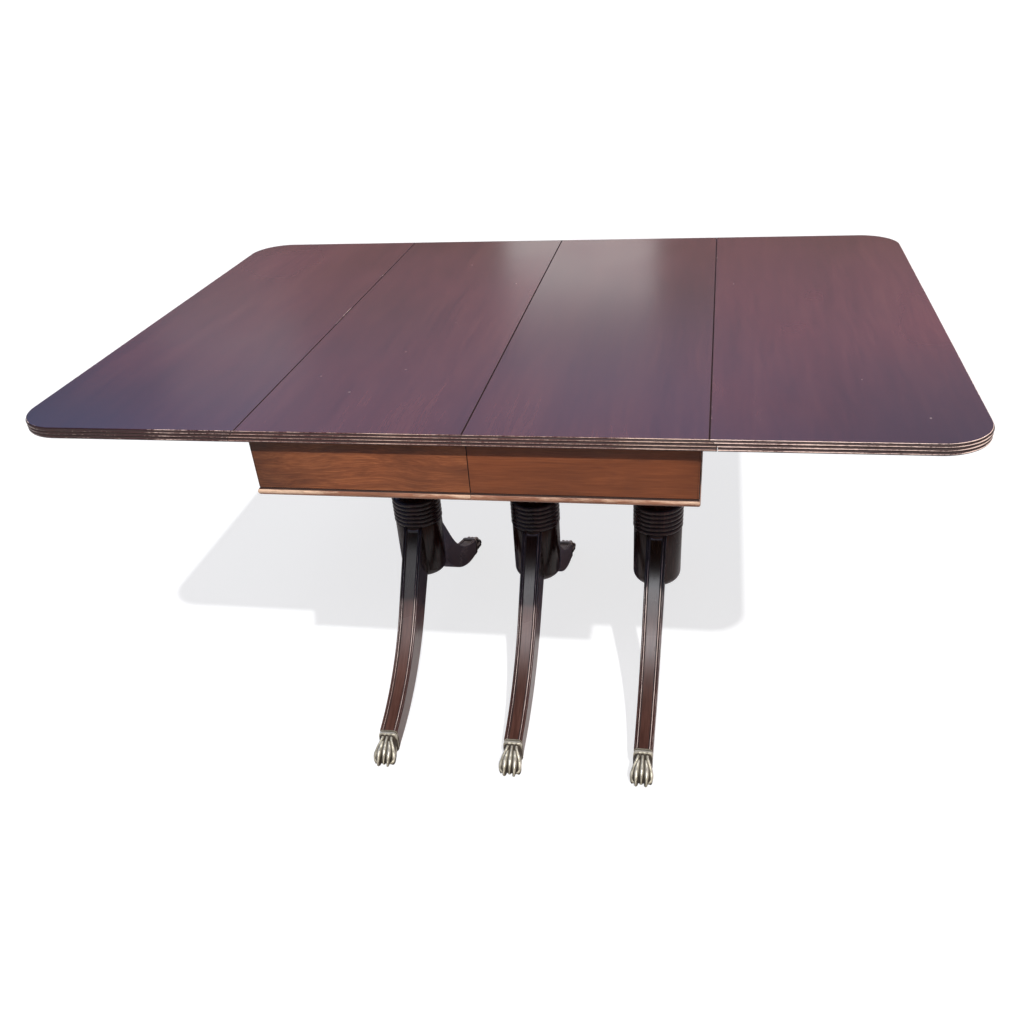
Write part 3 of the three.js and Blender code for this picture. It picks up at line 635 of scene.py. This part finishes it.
def drop_leaf(node, side):
    """A leaf with rounded corners, reeded on three sides, with the cove of the rule joint"""
    rings, edges = [], []
    for depth, inset, edge, seam in board_levels():
        level = TOP - depth
        radius = CORNER - inset
        centre_x = HALF_WIDTH + LEAF_WIDTH - CORNER
        centre_y = HALF_DEPTH - CORNER
        bevel = max(0.0, inset - ARRIS_INSET) if depth < ARRIS_HEIGHT else 0.0
        inner = HALF_WIDTH + SEAM_GAP + bevel
        if level < PIN_LEVEL + COVE_RADIUS:
            rise = max(0.0, level - PIN_LEVEL)
            cove = HALF_WIDTH + math.sqrt(COVE_RADIUS ** 2 - rise ** 2)
            inner = max(HALF_WIDTH + SEAM_GAP, cove)
        reach = HALF_DEPTH - inset
        plan = [(inner, -reach, edge)]
        for sign in (-1, 1):
            for i in range(CORNER_STEPS + 1):
                angle = math.pi / 2 * (i / CORNER_STEPS - (1 if sign < 0 else 0))
                x = centre_x + radius * math.cos(angle)
                plan.append((x, sign * centre_y + radius * math.sin(angle), edge))
        plan += [
            (inner, reach, edge), (inner, reach - SEAM_LIP, seam), (inner, SEAM_LIP - reach, seam),
        ]
        rings.append([(x, y, level) for x, y, _ in plan])
        # Painted light on the front edges: a painted highlight on the right leaf's, painted shade
        # on the left's
        painted_sheen = 0.3 * side if depth > 0 else 0.0
        edges.append([
            value + painted_sheen * smooth(-side * y / HALF_DEPTH * 4 - 3) for _, y, value in plan
        ])
    made = loft(node + "_board", rings, edges)
    carve(made, hinge_room([(HALF_WIDTH, HALF_WIDTH + FLAP_REACH, HINGE_ROOF)]))
    if side < 0:
        half_turn(made)
    return stand_for(made, node, "leaf", along_y)


# Aprons and beads

def rounded_section(low, high, radius, steps=3):
    """A rectangle with rounded corners, anticlockwise"""
    points = []
    corners = [
        (high[0], low[1], -90), (high[0], high[1], 0), (low[0], high[1], 90), (low[0], low[1], 180),
    ]
    for a, b, start in corners:
        centre_a = a - radius if a == high[0] else a + radius
        centre_b = b - radius if b == high[1] else b + radius
        for i in range(steps + 1):
            angle = math.radians(start + 90 * i / steps)
            across = centre_a + radius * math.cos(angle)
            points.append((across, centre_b + radius * math.sin(angle)))
    return points


def long_apron(node, side, front):
    """One half of the front or back apron, with dark lines at its ends"""
    radius = 0.6 * MM
    section = rounded_section((APRON_INSIDE, APRON_BOTTOM), (APRON_FACE, APRON_TOP), radius)
    middle = ((APRON_INSIDE + APRON_FACE) / 2, (APRON_BOTTOM + APRON_TOP) / 2)
    rings, edges = [], []
    # Along the apron: place, wear, and how far the section is drawn in to ease the end
    stops = [
        (SPLIT, -1.0, radius), (SPLIT + 0.3 * MM, -0.5, 0), (SPLIT + 0.6 * MM, 0.0, 0),
        (APRON_END - 2.6 * MM, 0.0, 0), (APRON_END - 2.2 * MM, -0.3, 0),
        (APRON_END - radius, 0.0, 0), (APRON_END, 0.5, radius),
    ]
    for x, edge, pull in stops:
        ring = []
        for y, z in section:
            y -= math.copysign(pull, y - middle[0]) * 0.7
            z -= math.copysign(pull, z - middle[1]) * 0.7
            ring.append((x * side, y * front, z))
        rings.append(ring)
        edges.append([edge] * len(ring))
    made = loft(node + "_board", rings, edges)
    return stand_for(made, node, "figured" if side < 0 else "apron", along_x)


def bead_section(steps=20):
    """The bead's section: outward from the apron's inner face, up from its underside, painted
    highlight and shadow
    """
    radius = BEAD_HEIGHT / 2
    nose = BEAD_FACE - APRON_INSIDE - radius
    points = [(0.0, 0.0, 0.0)]
    for i in range(steps + 1):
        angle = math.pi * (i / steps - 0.5)
        # Painted light: the top of the round is dark, a painted shadow under the quirk, and its
        # upper front paler, a painted highlight
        line = -1.0 if angle > 0.75 else 0.55 * math.cos(angle - 0.4) - 0.2
        points.append((nose + radius * math.cos(angle), radius + radius * math.sin(angle), line))
    points.append((0.0, BEAD_HEIGHT, -1.0))
    return points


def long_bead(node, side, front):
    """The bead under one half of the front or back apron, mitred at its end"""
    rings, edges = [], []
    for end in (0, 1):
        ring = []
        for outward, up, _ in bead_section():
            y = APRON_INSIDE + outward
            x = SPLIT if end == 0 else BEAD_END - MITRE - (BEAD_FACE - y)
            ring.append((x * side, y * front, BEAD_BOTTOM + up))
        rings.append(ring)
        edges.append([edge for _, _, edge in bead_section()])
    return stand_for(loft(node + "_moulding", rings, edges), node, "bead", along_x)


def end_bead(node, side):
    """The bead under an end apron, mitred at both ends"""
    rings, edges = [], []
    for end in (-1, 1):
        ring = []
        for outward, up, _ in bead_section():
            x = APRON_END_INSIDE + outward
            y = end * (BEAD_FACE - MITRE - (BEAD_END - x))
            ring.append((x * side, y, BEAD_BOTTOM + up))
        rings.append(ring)
        edges.append([edge for _, _, edge in bead_section()])
    return stand_for(loft(node + "_moulding", rings, edges), node, "bead", along_y)


def dress(node, material, grain, bevel):
    """A copy of a simple node with its edges eased, in the node's place"""
    work = bmesh.new()
    work.from_mesh(frame["nodes"][node].data)
    bmesh.ops.remove_doubles(work, verts=work.verts, dist=1e-6)
    flat, corner = math.radians(2), math.radians(50)
    bmesh.ops.dissolve_limit(work, angle_limit=flat, verts=work.verts, edges=work.edges)
    sharp = [e for e in work.edges if e.is_manifold and e.calc_face_angle(0) > corner]
    bmesh.ops.bevel(
        work, geom=sharp, offset=bevel, segments=2, profile=0.6, affect="EDGES", clamp_overlap=True,
    )
    mesh = mesh_of(work, node)
    tidy(mesh, 30)
    return stand_for(add(node + "_dressed", mesh), node, material, grain)


# Hinge screws

# A screw's radius and half the width of its slot, how far its head and the floor of the slot stand
# out, and how far both go into the board
SCREW_RADIUS, SCREW_SLOT = 3.2 * MM, 0.45 * MM
SCREW_PROUD, SLOT_PROUD, SCREW_SUNK = 0.25 * MM, 0.04 * MM, 0.2 * MM
SCREW_STEPS = 10
BOARD_UNDERSIDE = TOP - THICKNESS
# Places of the screws on a hinge's plate and flap: away from the pin, along it
PLATE_SCREWS = ((6.5 * MM, -20 * MM), (6.5 * MM, 20 * MM), (33.5 * MM, 0.0))
FLAP_SCREWS = (
    (16 * MM, -20 * MM), (16 * MM, 20 * MM), (36 * MM, 0.0), (52 * MM, -18 * MM),
    (52 * MM, 18 * MM),
)


def screws(node, places):
    """The slotted heads of a hinge's screws, at (x, y, turn of the slot) on its underside"""
    verts, edge, faces = [], [], []

    def slab(outline, proud, value):
        start, count = len(verts), len(outline)
        for level in (BOARD_UNDERSIDE + SCREW_SUNK, BOARD_UNDERSIDE - proud):
            verts.extend((x, y, level) for x, y in outline)
            edge.extend([value] * count)
        faces.append(tuple(start + i for i in range(count)))
        faces.append(tuple(start + count + i for i in range(count)))
        for i in range(count):
            j = (i + 1) % count
            faces.append((start + i, start + j, start + count + j, start + count + i))

    def arc(x, y, turned, start, sweep, count):
        angles = [start + sweep * i / SCREW_STEPS + turned for i in range(count)]
        return [(x + SCREW_RADIUS * math.cos(a), y + SCREW_RADIUS * math.sin(a)) for a in angles]

    lip = math.asin(SCREW_SLOT / SCREW_RADIUS)
    for x, y, turned in places:
        slab(arc(x, y, turned, 0, math.pi, 2 * SCREW_STEPS), SLOT_PROUD, -1.0)
        for half in (0, math.pi):
            outline = arc(x, y, turned, half + lip, math.pi - 2 * lip, SCREW_STEPS + 1)
            slab(outline, SCREW_PROUD, 0.3)
    return fix_on(settle(node + "_screws", verts, faces, edge, 30), node, "iron", along_z)


# Columns

COLUMN_SIDES, BARREL_STEPS = 72, 12
RING_VALLEY, RING_SWELL, RING_STEPS = BARREL_RADIUS - 1.0 * MM, 2.6 * MM, 8
# The vase above the collar: shares of the barrel's radius and of the height, and the sharp turns
VASE = [
    (0.88, 0.0), (0.68, 0.04), (0.6, 0.11), (0.84, 0.26), (0.93, 0.4), (0.86, 0.55), (0.58, 0.8),
    (0.66, 0.83), (0.6, 0.87), (0.84, 0.94), (0.84, 1.0),
]
VASE_SHARP = {1, 6, 7, 8, 9, 10}


def column_profile():
    """The turned outline from the bottom up: radius, level, wear"""
    floor = BARREL_RADIUS - BARREL_ROUND
    shoulder = BARREL_BOTTOM + BARREL_ROUND
    rows = []
    for i in range(BARREL_STEPS + 1):
        angle = math.pi / 2 * (1 - i / BARREL_STEPS)
        radius = floor + BARREL_ROUND * math.cos(angle)
        rows.append((radius, shoulder - BARREL_ROUND * math.sin(angle), 0.0))
    rows.append((BARREL_RADIUS, COLLAR_BOTTOM - 1.2 * MM, 0.0))
    for i in range(RINGS * RING_STEPS):
        swell = math.sin(math.pi * (i % RING_STEPS) / RING_STEPS) ** 0.75
        level = COLLAR_BOTTOM + RING_PITCH * i / RING_STEPS
        rows.append((RING_VALLEY + RING_SWELL * swell, level, 1.5 * swell - 1.0))
    collar_top = COLLAR_BOTTOM + RINGS * RING_PITCH
    rows.append((RING_VALLEY, collar_top, -1.0))
    shaft = COLUMN_TOP - collar_top
    points = [(BARREL_RADIUS * a, collar_top + shaft * b) for a, b in VASE]
    rows.append((*points[0], 0.3))
    rows.append((*points[1], 0.0))
    for i in range(1, len(points) - 1):
        steps = 6 if i < 6 else 3
        before = points[i - 1] if i not in VASE_SHARP else points[i]
        after = points[i + 2] if i + 1 not in VASE_SHARP else points[i + 1]
        for k in range(1, steps + 1):
            rows.append((*spline(before, points[i], points[i + 1], after, k / steps), 0.0))
    return rows


def spline(a, b, c, d, t):
    """A point on the smooth curve from b to c"""
    def blend(p, q, r, s):
        square, cube = 2 * p - 5 * q + 4 * r - s, 3 * q - p - 3 * r + s
        return 0.5 * (2 * q + (r - p) * t + square * t ** 2 + cube * t ** 3)
    return tuple(blend(*values) for values in zip(a, b, c, d))


def column(name, x):
    """A pedestal's turned column: barrel, ringed collar and vase"""
    angles = [2 * math.pi * i / COLUMN_SIDES for i in range(COLUMN_SIDES)]
    rings, edges = [], []
    for radius, level, value in column_profile():
        rings.append([(x + radius * math.cos(a), radius * math.sin(a), level) for a in angles])
        edges.append([value] * COLUMN_SIDES)
    node = name + "_column"
    return stand_for(loft(node + "_turning", rings, edges, 50), node, "turned", along_z)


# Legs

# How far the sweep runs past both ends before it is trimmed, how deep a leg goes into the barrel,
# and its gap at the cap and under the collar
LEG_OVERRUN, LEG_SINK, LEG_GAP = 0.012, 3 * MM, 0.3 * MM
LEG_REED, REED_RISE, PANEL_SINK = 4 * MM, 1.4 * MM, 2.0 * MM


def leg_stations(count=44):
    """Down the outer line of a leg: reach, height, slope, share of the way, distance"""
    steep, flat = LEG_SLOPE, FOOT_SLOPE
    across, down = CAP_MOUTH - BARREL_RADIUS, LEG_TOP - CAP_TOP
    sine, cosine = math.sin(steep) - math.sin(flat), math.cos(flat) - math.cos(steep)
    scale = math.cos(steep) * cosine - sine * math.sin(steep)
    straight = (across * cosine - sine * down) / scale
    radius = (math.cos(steep) * down - math.sin(steep) * across) / scale
    length = straight + radius * (steep - flat)
    rows = []
    for i in range(count + 1):
        distance = -LEG_OVERRUN + (length + 2 * LEG_OVERRUN) * i / count
        run = min(distance, straight)
        bend = min(max((distance - straight) / radius, 0.0), steep - flat)
        tail = max(distance - length, 0.0)
        slope = steep - bend
        reach = BARREL_RADIUS + run * math.cos(steep) + radius * (math.sin(steep) - math.sin(slope))
        height = LEG_TOP - run * math.sin(steep) - radius * (math.cos(slope) - math.cos(steep))
        rows.append((
            reach + tail * math.cos(flat), height - tail * math.sin(flat), slope,
            min(max(distance / length, 0.0), 1.0), distance,
        ))
    return rows


def leg_section(width, depth):
    """Across a leg: offset, inward, wear. Two reeds stand along each side of a sunk panel."""
    half, steps = width / 2, 6
    left = [(-half, REED_RISE, -0.2)]
    for r, wear_there in enumerate((0.6, 0.95)):
        for i in range(1, steps + 1):
            swell = math.sin(math.pi * i / steps)
            crest = wear_there * swell ** 8 - 0.3
            left.append((-half + LEG_REED * (r + i / steps), REED_RISE * (1 - swell), crest))
    left.append((-half + 2 * LEG_REED + 0.3 * MM, PANEL_SINK, -0.9))
    left.append((-half + 2 * LEG_REED + 1.5 * MM, PANEL_SINK, 0.0))
    right = [(-a, b, c) for a, b, c in reversed(left)]
    side = [(half, 4 * MM, 0.1), (half, depth - 3.2 * MM, 0.1)]
    back = []
    for i in range(5):
        angle = math.pi / 2 * i / 4
        across = half - 3 * MM * (1 - math.cos(angle))
        back.append((across, depth - 3 * MM * (1 - math.sin(angle)), 0.1))
    other = [(-a, b, c) for a, b, c in reversed(back)]
    return left + right + side + back + other + [(-a, b, c) for a, b, c in reversed(side)]


def leg(name, x, front):
    """A sabre leg from the barrel to the mouth of its cap, made at the front"""
    rings, edges, grain = [], [], []
    for reach, height, slope, share, distance in leg_stations():
        width = LEG_ROOT[0] + (LEG_FOOT[0] - LEG_ROOT[0]) * share
        depth = LEG_ROOT[1] + (LEG_FOOT[1] - LEG_ROOT[1]) * share ** LEG_TAPER
        ring, row = [], []
        for offset, inward, edge in leg_section(width, depth):
            y = reach - inward * math.sin(slope)
            z = height - inward * math.cos(slope)
            ring.append(Vector((offset, -y, z)))
            # Painted shade: the pale crest lines fade towards the top of the leg, where the table
            # shades it
            row.append(edge - 0.35 * (1 - smooth(2.2 * share)) if edge > 0.1 else edge)
            grain.append((offset, inward, distance))
        rings.append(ring)
        edges.append(row)
    # Both ends are trimmed along the grain, at the barrel and at the cap's mouth
    for ring in rings:
        for p in ring:
            p.y = -min(max(-p.y, BARREL_RADIUS - LEG_SINK), CAP_MOUTH - LEG_GAP)
            p.z = min(p.z, COLLAR_BOTTOM - LEG_GAP)
    node = f"{name}_{'front' if front else 'back'}_leg"
    made = loft(node + "_sweep", rings, edges, 40)
    shift = 0.31 * (len(name) + front)
    values = [v + shift for row in grain for v in row]
    write(made.data, "grain", values)
    if not front:
        half_turn(made)
    made.data.transform(Matrix.Translation((x, 0, 0)))
    return stand_for(made, node, "leg", along_z)


# Paw caps

# In mm: where the bar at the mouth ends, the paw's length, the height of its edge before the toes
PAW_BAR_END, PAW_LENGTH, PAW_EDGE = 13.2, 53, 4
# In mm from the mouth: where the ridges start to spread and over what length, the knuckles, and the
# pinch before the claws
SPREAD_START, SPREAD_LENGTH, KNUCKLES, PINCH = 14, 28, 42, 48
# Points across half a paw, and steps along it past the bar
PAW_POINTS, PAW_STEPS = 64, 40
# Along a paw: distance from the mouth in mm, shares of the cap's width and height, squareness, wear
PAW_ROWS = [
    (0.0, 0.80, 1.00, 0.24, 0.35), (1.7, 0.80, 1.00, 0.24, 0.45), (2.3, 0.755, 0.94, 0.26, -0.8),
    (4.4, 0.755, 0.94, 0.26, -0.8), (5.0, 0.81, 1.0, 0.24, 0.5), (6.0, 0.825, 1.005, 0.24, 0.9),
    (9.4, 0.825, 1.0, 0.26, 0.8), (10.6, 0.81, 0.98, 0.28, 0.4), (11.6, 0.75, 0.90, 0.34, -0.7),
    (13.2, 0.71, 0.86, 0.42, -0.6), (20.0, 0.74, 0.82, 0.52, -0.5), (30.0, 0.85, 0.72, 0.60, -0.5),
    (40.0, 0.92, 0.58, 0.66, -0.5), (47.0, 0.92, 0.40, 0.72, -0.5), (51.0, 0.86, 0.22, 0.78, -0.6),
    (53.0, 0.78, 0.11, 0.8, -0.7),
]
# Ridges on each side of a paw, in mm: offset from the middle at the start and at the toes, start,
# half width at the start and at the toes, height, forward reach past the gaps between the toes
PAW_RIDGES = [
    (0.0, 0.0, 9, 2.8, 4.4, 2.6, 5.0), (8.6, 20.5, 9, 3.0, 5.2, 2.9, 2.0),
    (5.4, 9.6, 20, 2.2, 5.0, 2.9, 10.5), (31.0, 33.0, 15, 4.0, 5.0, 1.6, 0.0),
]


def paw_row(distance):
    """The shares, squareness and wear of PAW_ROWS at this distance"""
    for low, high in zip(PAW_ROWS, PAW_ROWS[1:]):
        if distance <= high[0]:
            t = (distance - low[0]) / (high[0] - low[0])
            return [a + (b - a) * t for a, b in zip(low[1:], high[1:])]
    return list(PAW_ROWS[-1][1:])


def arch(half, high, square, count):
    """Half of the arch over a paw, from its top to its side in even steps, with its length"""
    trace, fine = [], 240
    for i in range(fine + 1):
        angle = math.pi / 2 * i / fine
        up = high * max(math.cos(angle), 0.0) ** square
        trace.append((half * math.sin(angle) ** square, PAW_EDGE * MM + up))
    lengths = [0.0]
    for a, b in zip(trace, trace[1:]):
        lengths.append(lengths[-1] + math.dist(a, b))
    points, k = [], 0
    for i in range(count + 1):
        want = lengths[-1] * i / count
        while k < len(trace) - 2 and lengths[k + 1] < want:
            k += 1
        t = (want - lengths[k]) / (lengths[k + 1] - lengths[k])
        points.append(tuple(a + (b - a) * t for a, b in zip(trace[k], trace[k + 1])))
    return points, lengths[-1]


def relief(offset, distance, arc):
    """How far a ridge stands out here, how far its toe reaches forward, its crest from 0 to 1"""
    best = (0.0, 0.0, 0.0)
    spread = smooth((distance - SPREAD_START) / SPREAD_LENGTH)
    knuckle = 1 + 0.3 * bell((distance - KNUCKLES) / 4.5) - 0.35 * bell((distance - PINCH) / 2.2)
    for start, toe, begin, thin, wide, height, forward in PAW_RIDGES:
        middle = min(start + (toe - start) * spread, 0.72 * arc)
        reach = (thin + (wide - thin) * spread) * (1 - 0.3 * smooth((distance - 45) / 8))
        bump = math.cos(math.pi / 2 * min(abs(offset - middle) / reach, 1.0)) ** 0.8
        grown = smooth((distance - begin) / 5)
        if not forward:
            grown *= 1 - smooth((distance - 32) / 8)
        stand = height * grown * bump * knuckle
        if stand > best[0]:
            best = (stand, forward * math.sqrt(bump), bump * grown)
    return best


def paw(name, x, front):
    """A cast paw: a fillet and a bar at the mouth, then tendons that spread to the toes"""
    distances = [0, 1.4, 1.7, 2.3, 3.4, 4.4, 5.0, 6.0, 8.5, 9.4, 10.6, 11.6, 12.4, PAW_BAR_END]
    rest = PAW_LENGTH - PAW_BAR_END
    distances += [PAW_BAR_END + rest * i / PAW_STEPS for i in range(1, PAW_STEPS + 1)]
    rings, edges = [], []
    for distance in distances:
        width, rise, square, wear_here = paw_row(distance)
        half = CAP_WIDTH * width / 2
        toes = smooth((distance - 34) / 19)
        base = (PAW_EDGE - 3 * toes) * MM
        points, arc = arch(half, CAP_TOP * rise - base, square, PAW_POINTS)
        side, wears = [], []
        for i, (across, up) in enumerate(points):
            before, after = points[max(i - 1, 0)], points[min(i + 1, PAW_POINTS)]
            run = Vector((after[0] - before[0], after[1] - before[1])).normalized()
            stand, forward, crest = relief(arc / MM * i / PAW_POINTS, distance, arc / MM)
            across -= run.y * stand * MM
            up = max(up - PAW_EDGE * MM + base + run.x * stand * MM, 0.5 * MM)
            reach = CAP_MOUTH + (distance + (forward - 1.5) * toes) * MM
            side.append((across if i else 0.0, -reach, up))
            if distance > PAW_BAR_END:
                past_knuckles = smooth((distance - KNUCKLES) / 8)
                wears.append(wear_here + 1.4 * crest ** 1.5 - 0.5 * past_knuckles)
            else:
                wears.append(wear_here - 0.9 * smooth(5 * i / PAW_POINTS - 2))
        foot = (half - 2.5 * MM, -CAP_MOUTH - min(distance, 44 + 0.05 * distance) * MM, 0.0)
        half_ring = side + [foot]
        other = [(-a, b, c) for a, b, c in reversed(half_ring[1:])]
        rings.append(other + half_ring)
        edges.append([-0.9] + wears[:0:-1] + wears + [-0.9])
    # The toes close in a low rounded front
    low = 0.8 * MM
    rings.append([(a * 0.92, b + 1.0 * MM, low + max(c - low, 0.0) * 0.5) for a, b, c in rings[-1]])
    edges.append(edges[-1])
    node = f"{name}_{'front' if front else 'back'}_paw_cap"
    made = loft(node + "_casting", rings, edges, 50)
    if not front:
        half_turn(made)
    made.data.transform(Matrix.Translation((x, 0, 0)))
    return stand_for(made, node, "brass", along_z)


# Putting the table together

EASE, BEARER_EASE, IRON_EASE = 0.8 * MM, 1.2 * MM, 0.2 * MM

for half_name, half_side in HALVES.items():
    half_top(f"{half_name}_half_top", half_side)
    drop_leaf(f"{half_name}_drop_leaf", half_side)
    for place, front_sign in FACES.items():
        long_apron(f"{half_name}_{place}_apron", half_side, front_sign)
        long_bead(f"{half_name}_{place}_bead", half_side, front_sign)
        for kind in ("loper", "loper_guide", "slide"):
            dress(f"{half_name}_{place}_{kind}", "slide", along_x, EASE)
    end_bead(f"{half_name}_end_bead", half_side)
    dress(f"{half_name}_end_apron", "apron", along_y, EASE)
    dress(f"{half_name}_bearer", "slide", along_y, BEARER_EASE)
    for place, hinge_y in HINGES.items():
        dress(f"{half_name}_{place}_hinge_plate", "iron", along_z, IRON_EASE)
        dress(f"{half_name}_{place}_hinge_flap", "iron", along_z, IRON_EASE)
        screws(f"{half_name}_{place}_hinge_plate", [
            (half_side * (HALF_WIDTH - away), hinge_y + along, along * 90 + away * 40)
            for away, along in PLATE_SCREWS
        ])
        screws(f"{half_name}_{place}_hinge_flap", [
            (half_side * (HALF_WIDTH + away), hinge_y + along, along * 70 + away * 50)
            for away, along in FLAP_SCREWS
        ])
for place in FACES:
    dress(f"centre_{place}_slide", "slide", along_x, EASE)
dress("centre_bearer", "slide", along_y, BEARER_EASE)
for pedestal_name, pedestal_x in PEDESTALS.items():
    column(pedestal_name, pedestal_x)
    for is_front in (True, False):
        leg(pedestal_name, pedestal_x, is_front)
        paw(pedestal_name, pedestal_x, is_front)


# Camera

# Fitted to the photograph: yaw, pitch and roll in degrees, place, lens and shift
CAMERA_TURN = (-11.965, 36.460, 4.090)
CAMERA_PLACE = Vector((0.3248, -1.6857, 1.2877))
CAMERA_SENSOR, CAMERA_LENS, CAMERA_SHIFT = 36, 33.39, (-0.0164, 0.1229)
FLOOR_RADIUS = 200


def add_camera():
    yaw, pitch, roll = (math.radians(a) for a in CAMERA_TURN)
    level = math.cos(pitch)
    forward = Vector((math.sin(yaw) * level, math.cos(yaw) * level, -math.sin(pitch)))
    level_right = Vector((math.cos(yaw), -math.sin(yaw), 0))
    level_down = forward.cross(level_right)
    right = math.cos(roll) * level_right + math.sin(roll) * level_down
    down = math.cos(roll) * level_down - math.sin(roll) * level_right
    data = bpy.data.cameras.new("camera")
    data.sensor_width = CAMERA_SENSOR
    data.lens = CAMERA_LENS
    data.shift_x, data.shift_y = CAMERA_SHIFT
    data.clip_end = FLOOR_RADIUS
    camera = add("camera", data)
    camera.matrix_world = Matrix((
        (right.x, -down.x, -forward.x, CAMERA_PLACE.x),
        (right.y, -down.y, -forward.y, CAMERA_PLACE.y),
        (right.z, -down.z, -forward.z, CAMERA_PLACE.z),
        (0, 0, 0, 1),
    ))
    bpy.context.scene.camera = camera


# Floor, world and lights

WHITE = grey(1)
FLOOR_GLOW = 0.75


def add_floor():
    """White to the camera and in reflections, with the table's shadow in both"""
    work = bmesh.new()
    bmesh.ops.create_circle(work, cap_ends=True, radius=FLOOR_RADIUS, segments=64)
    floor = add("floor", mesh_of(work, "floor"))
    paint = Paint(bpy.data.materials.new("floor_white"))
    seen = paint.node("LightPath").outputs
    mirrored = paint.combine("MAXIMUM", seen["Is Glossy Ray"], seen["Is Transmission Ray"])
    glow = paint.times(seen["Is Camera Ray"], FLOOR_GLOW)
    tone = paint.mix(seen["Is Camera Ray"], grey(0.2), grey(0.3))
    tone = paint.mix(mirrored, tone, (0.95, 0.89, 0.85, 1))
    material = paint.finish(tone, 1.0, Emission_Color=WHITE, Emission_Strength=glow)
    floor.data.materials.append(material)


SUN_TOWARD = Vector((-0.27, 0.615, -0.755)).normalized()
SUN_POWER, SUN_ANGLE = 3.3, math.radians(1.0)
HALO_TOWARD = Vector((0.08, 0.630, -0.772)).normalized()
HALO_POWER, HALO_GLOW = 70.0, (13.0, 13.0, 13.6, 1)
DIFFUSE_STRENGTH = 0.38
# What the polish mirrors, from the horizon to overhead: warm and dim low down, blue and brighter
# higher up, and darker overhead
SKY_STOPS = [
    (0.0, (0.56, 0.44, 0.40, 1)), (0.1, (0.36, 0.20, 0.13, 1)), (0.24, (0.38, 0.20, 0.12, 1)),
    (0.30, (0.60, 0.47, 0.50, 1)), (0.36, (0.76, 0.68, 0.98, 1)), (0.44, (0.88, 0.86, 1.5, 1)),
    (0.58, (0.20, 0.205, 0.23, 1)), (1.0, (0.18, 0.19, 0.22, 1)),
]


def add_sky():
    """White to the camera; in reflections bluer to the left, dimmer low down there, and with a
    bright halo near the sun"""
    sky = Paint(bpy.data.worlds.new("world"))
    bpy.context.scene.world = sky.owner
    direction = sky.node("TexCoord").outputs["Generated"]
    parts = sky.node("SeparateXYZ", {0: direction}).outputs
    shade = sky.ramp(parts["Z"], SKY_STOPS)
    left = sky.span(parts["X"], -0.34, -0.60)
    shade = sky.mix(left, shade, (0.60, 0.89, 1.18, 1), "MULTIPLY")
    low_left = sky.times(sky.span(parts["X"], -0.05, -0.25), sky.span(parts["Z"], 0.28, 0.22))
    shade = sky.mix(low_left, shade, (0.55, 0.65, 0.45, 1), "MULTIPLY")
    rays = sky.node("LightPath").outputs
    halo_ward = sky.vectors("DOT_PRODUCT", {0: direction, 1: -HALO_TOWARD}, "Value")
    halo = sky.combine("POWER", sky.combine("MAXIMUM", halo_ward, 0.0), HALO_POWER)
    colour = sky.mix(halo, shade, HALO_GLOW, "ADD")
    background = sky.tree.nodes["Background"]
    sky.put(background, "Color", sky.mix(rays["Is Camera Ray"], colour, WHITE))
    strength = sky.span(rays["Is Diffuse Ray"], 0.0, 1.0, 1.0, DIFFUSE_STRENGTH)
    sky.put(background, "Strength", strength)


def lamp(name, kind, toward, power):
    """A light that shines along a direction or towards a point"""
    data = bpy.data.lights.new(name, kind)
    data.energy = power
    made = add(name, data)
    made.rotation_euler = Vector(toward).to_track_quat("-Z", "Y").to_euler()
    return made


WINDOW_SIZE = (0.8, 0.5)


def window(name, place, aim, size, power):
    """A soft light behind the table, which shows as a bright patch in its polish"""
    made = lamp(name, "AREA", Vector(aim) - Vector(place), power)
    made.location = place
    made.data.shape = "RECTANGLE"
    made.data.size, made.data.size_y = size
    made.visible_camera = False


add_camera()
add_floor()
add_sky()
sun = lamp("sun", "SUN", SUN_TOWARD, SUN_POWER)
sun.data.angle = SUN_ANGLE
window("back_window", (-0.36, 3.6, 1.55), (0.0, 0.3, TOP), WINDOW_SIZE, 1.6)
window("left_window", (-2.5, 3.6, 2.15), (-0.5, 0.0, TOP), WINDOW_SIZE, 0.5)

bpy.context.scene.view_settings.view_transform = "Standard"
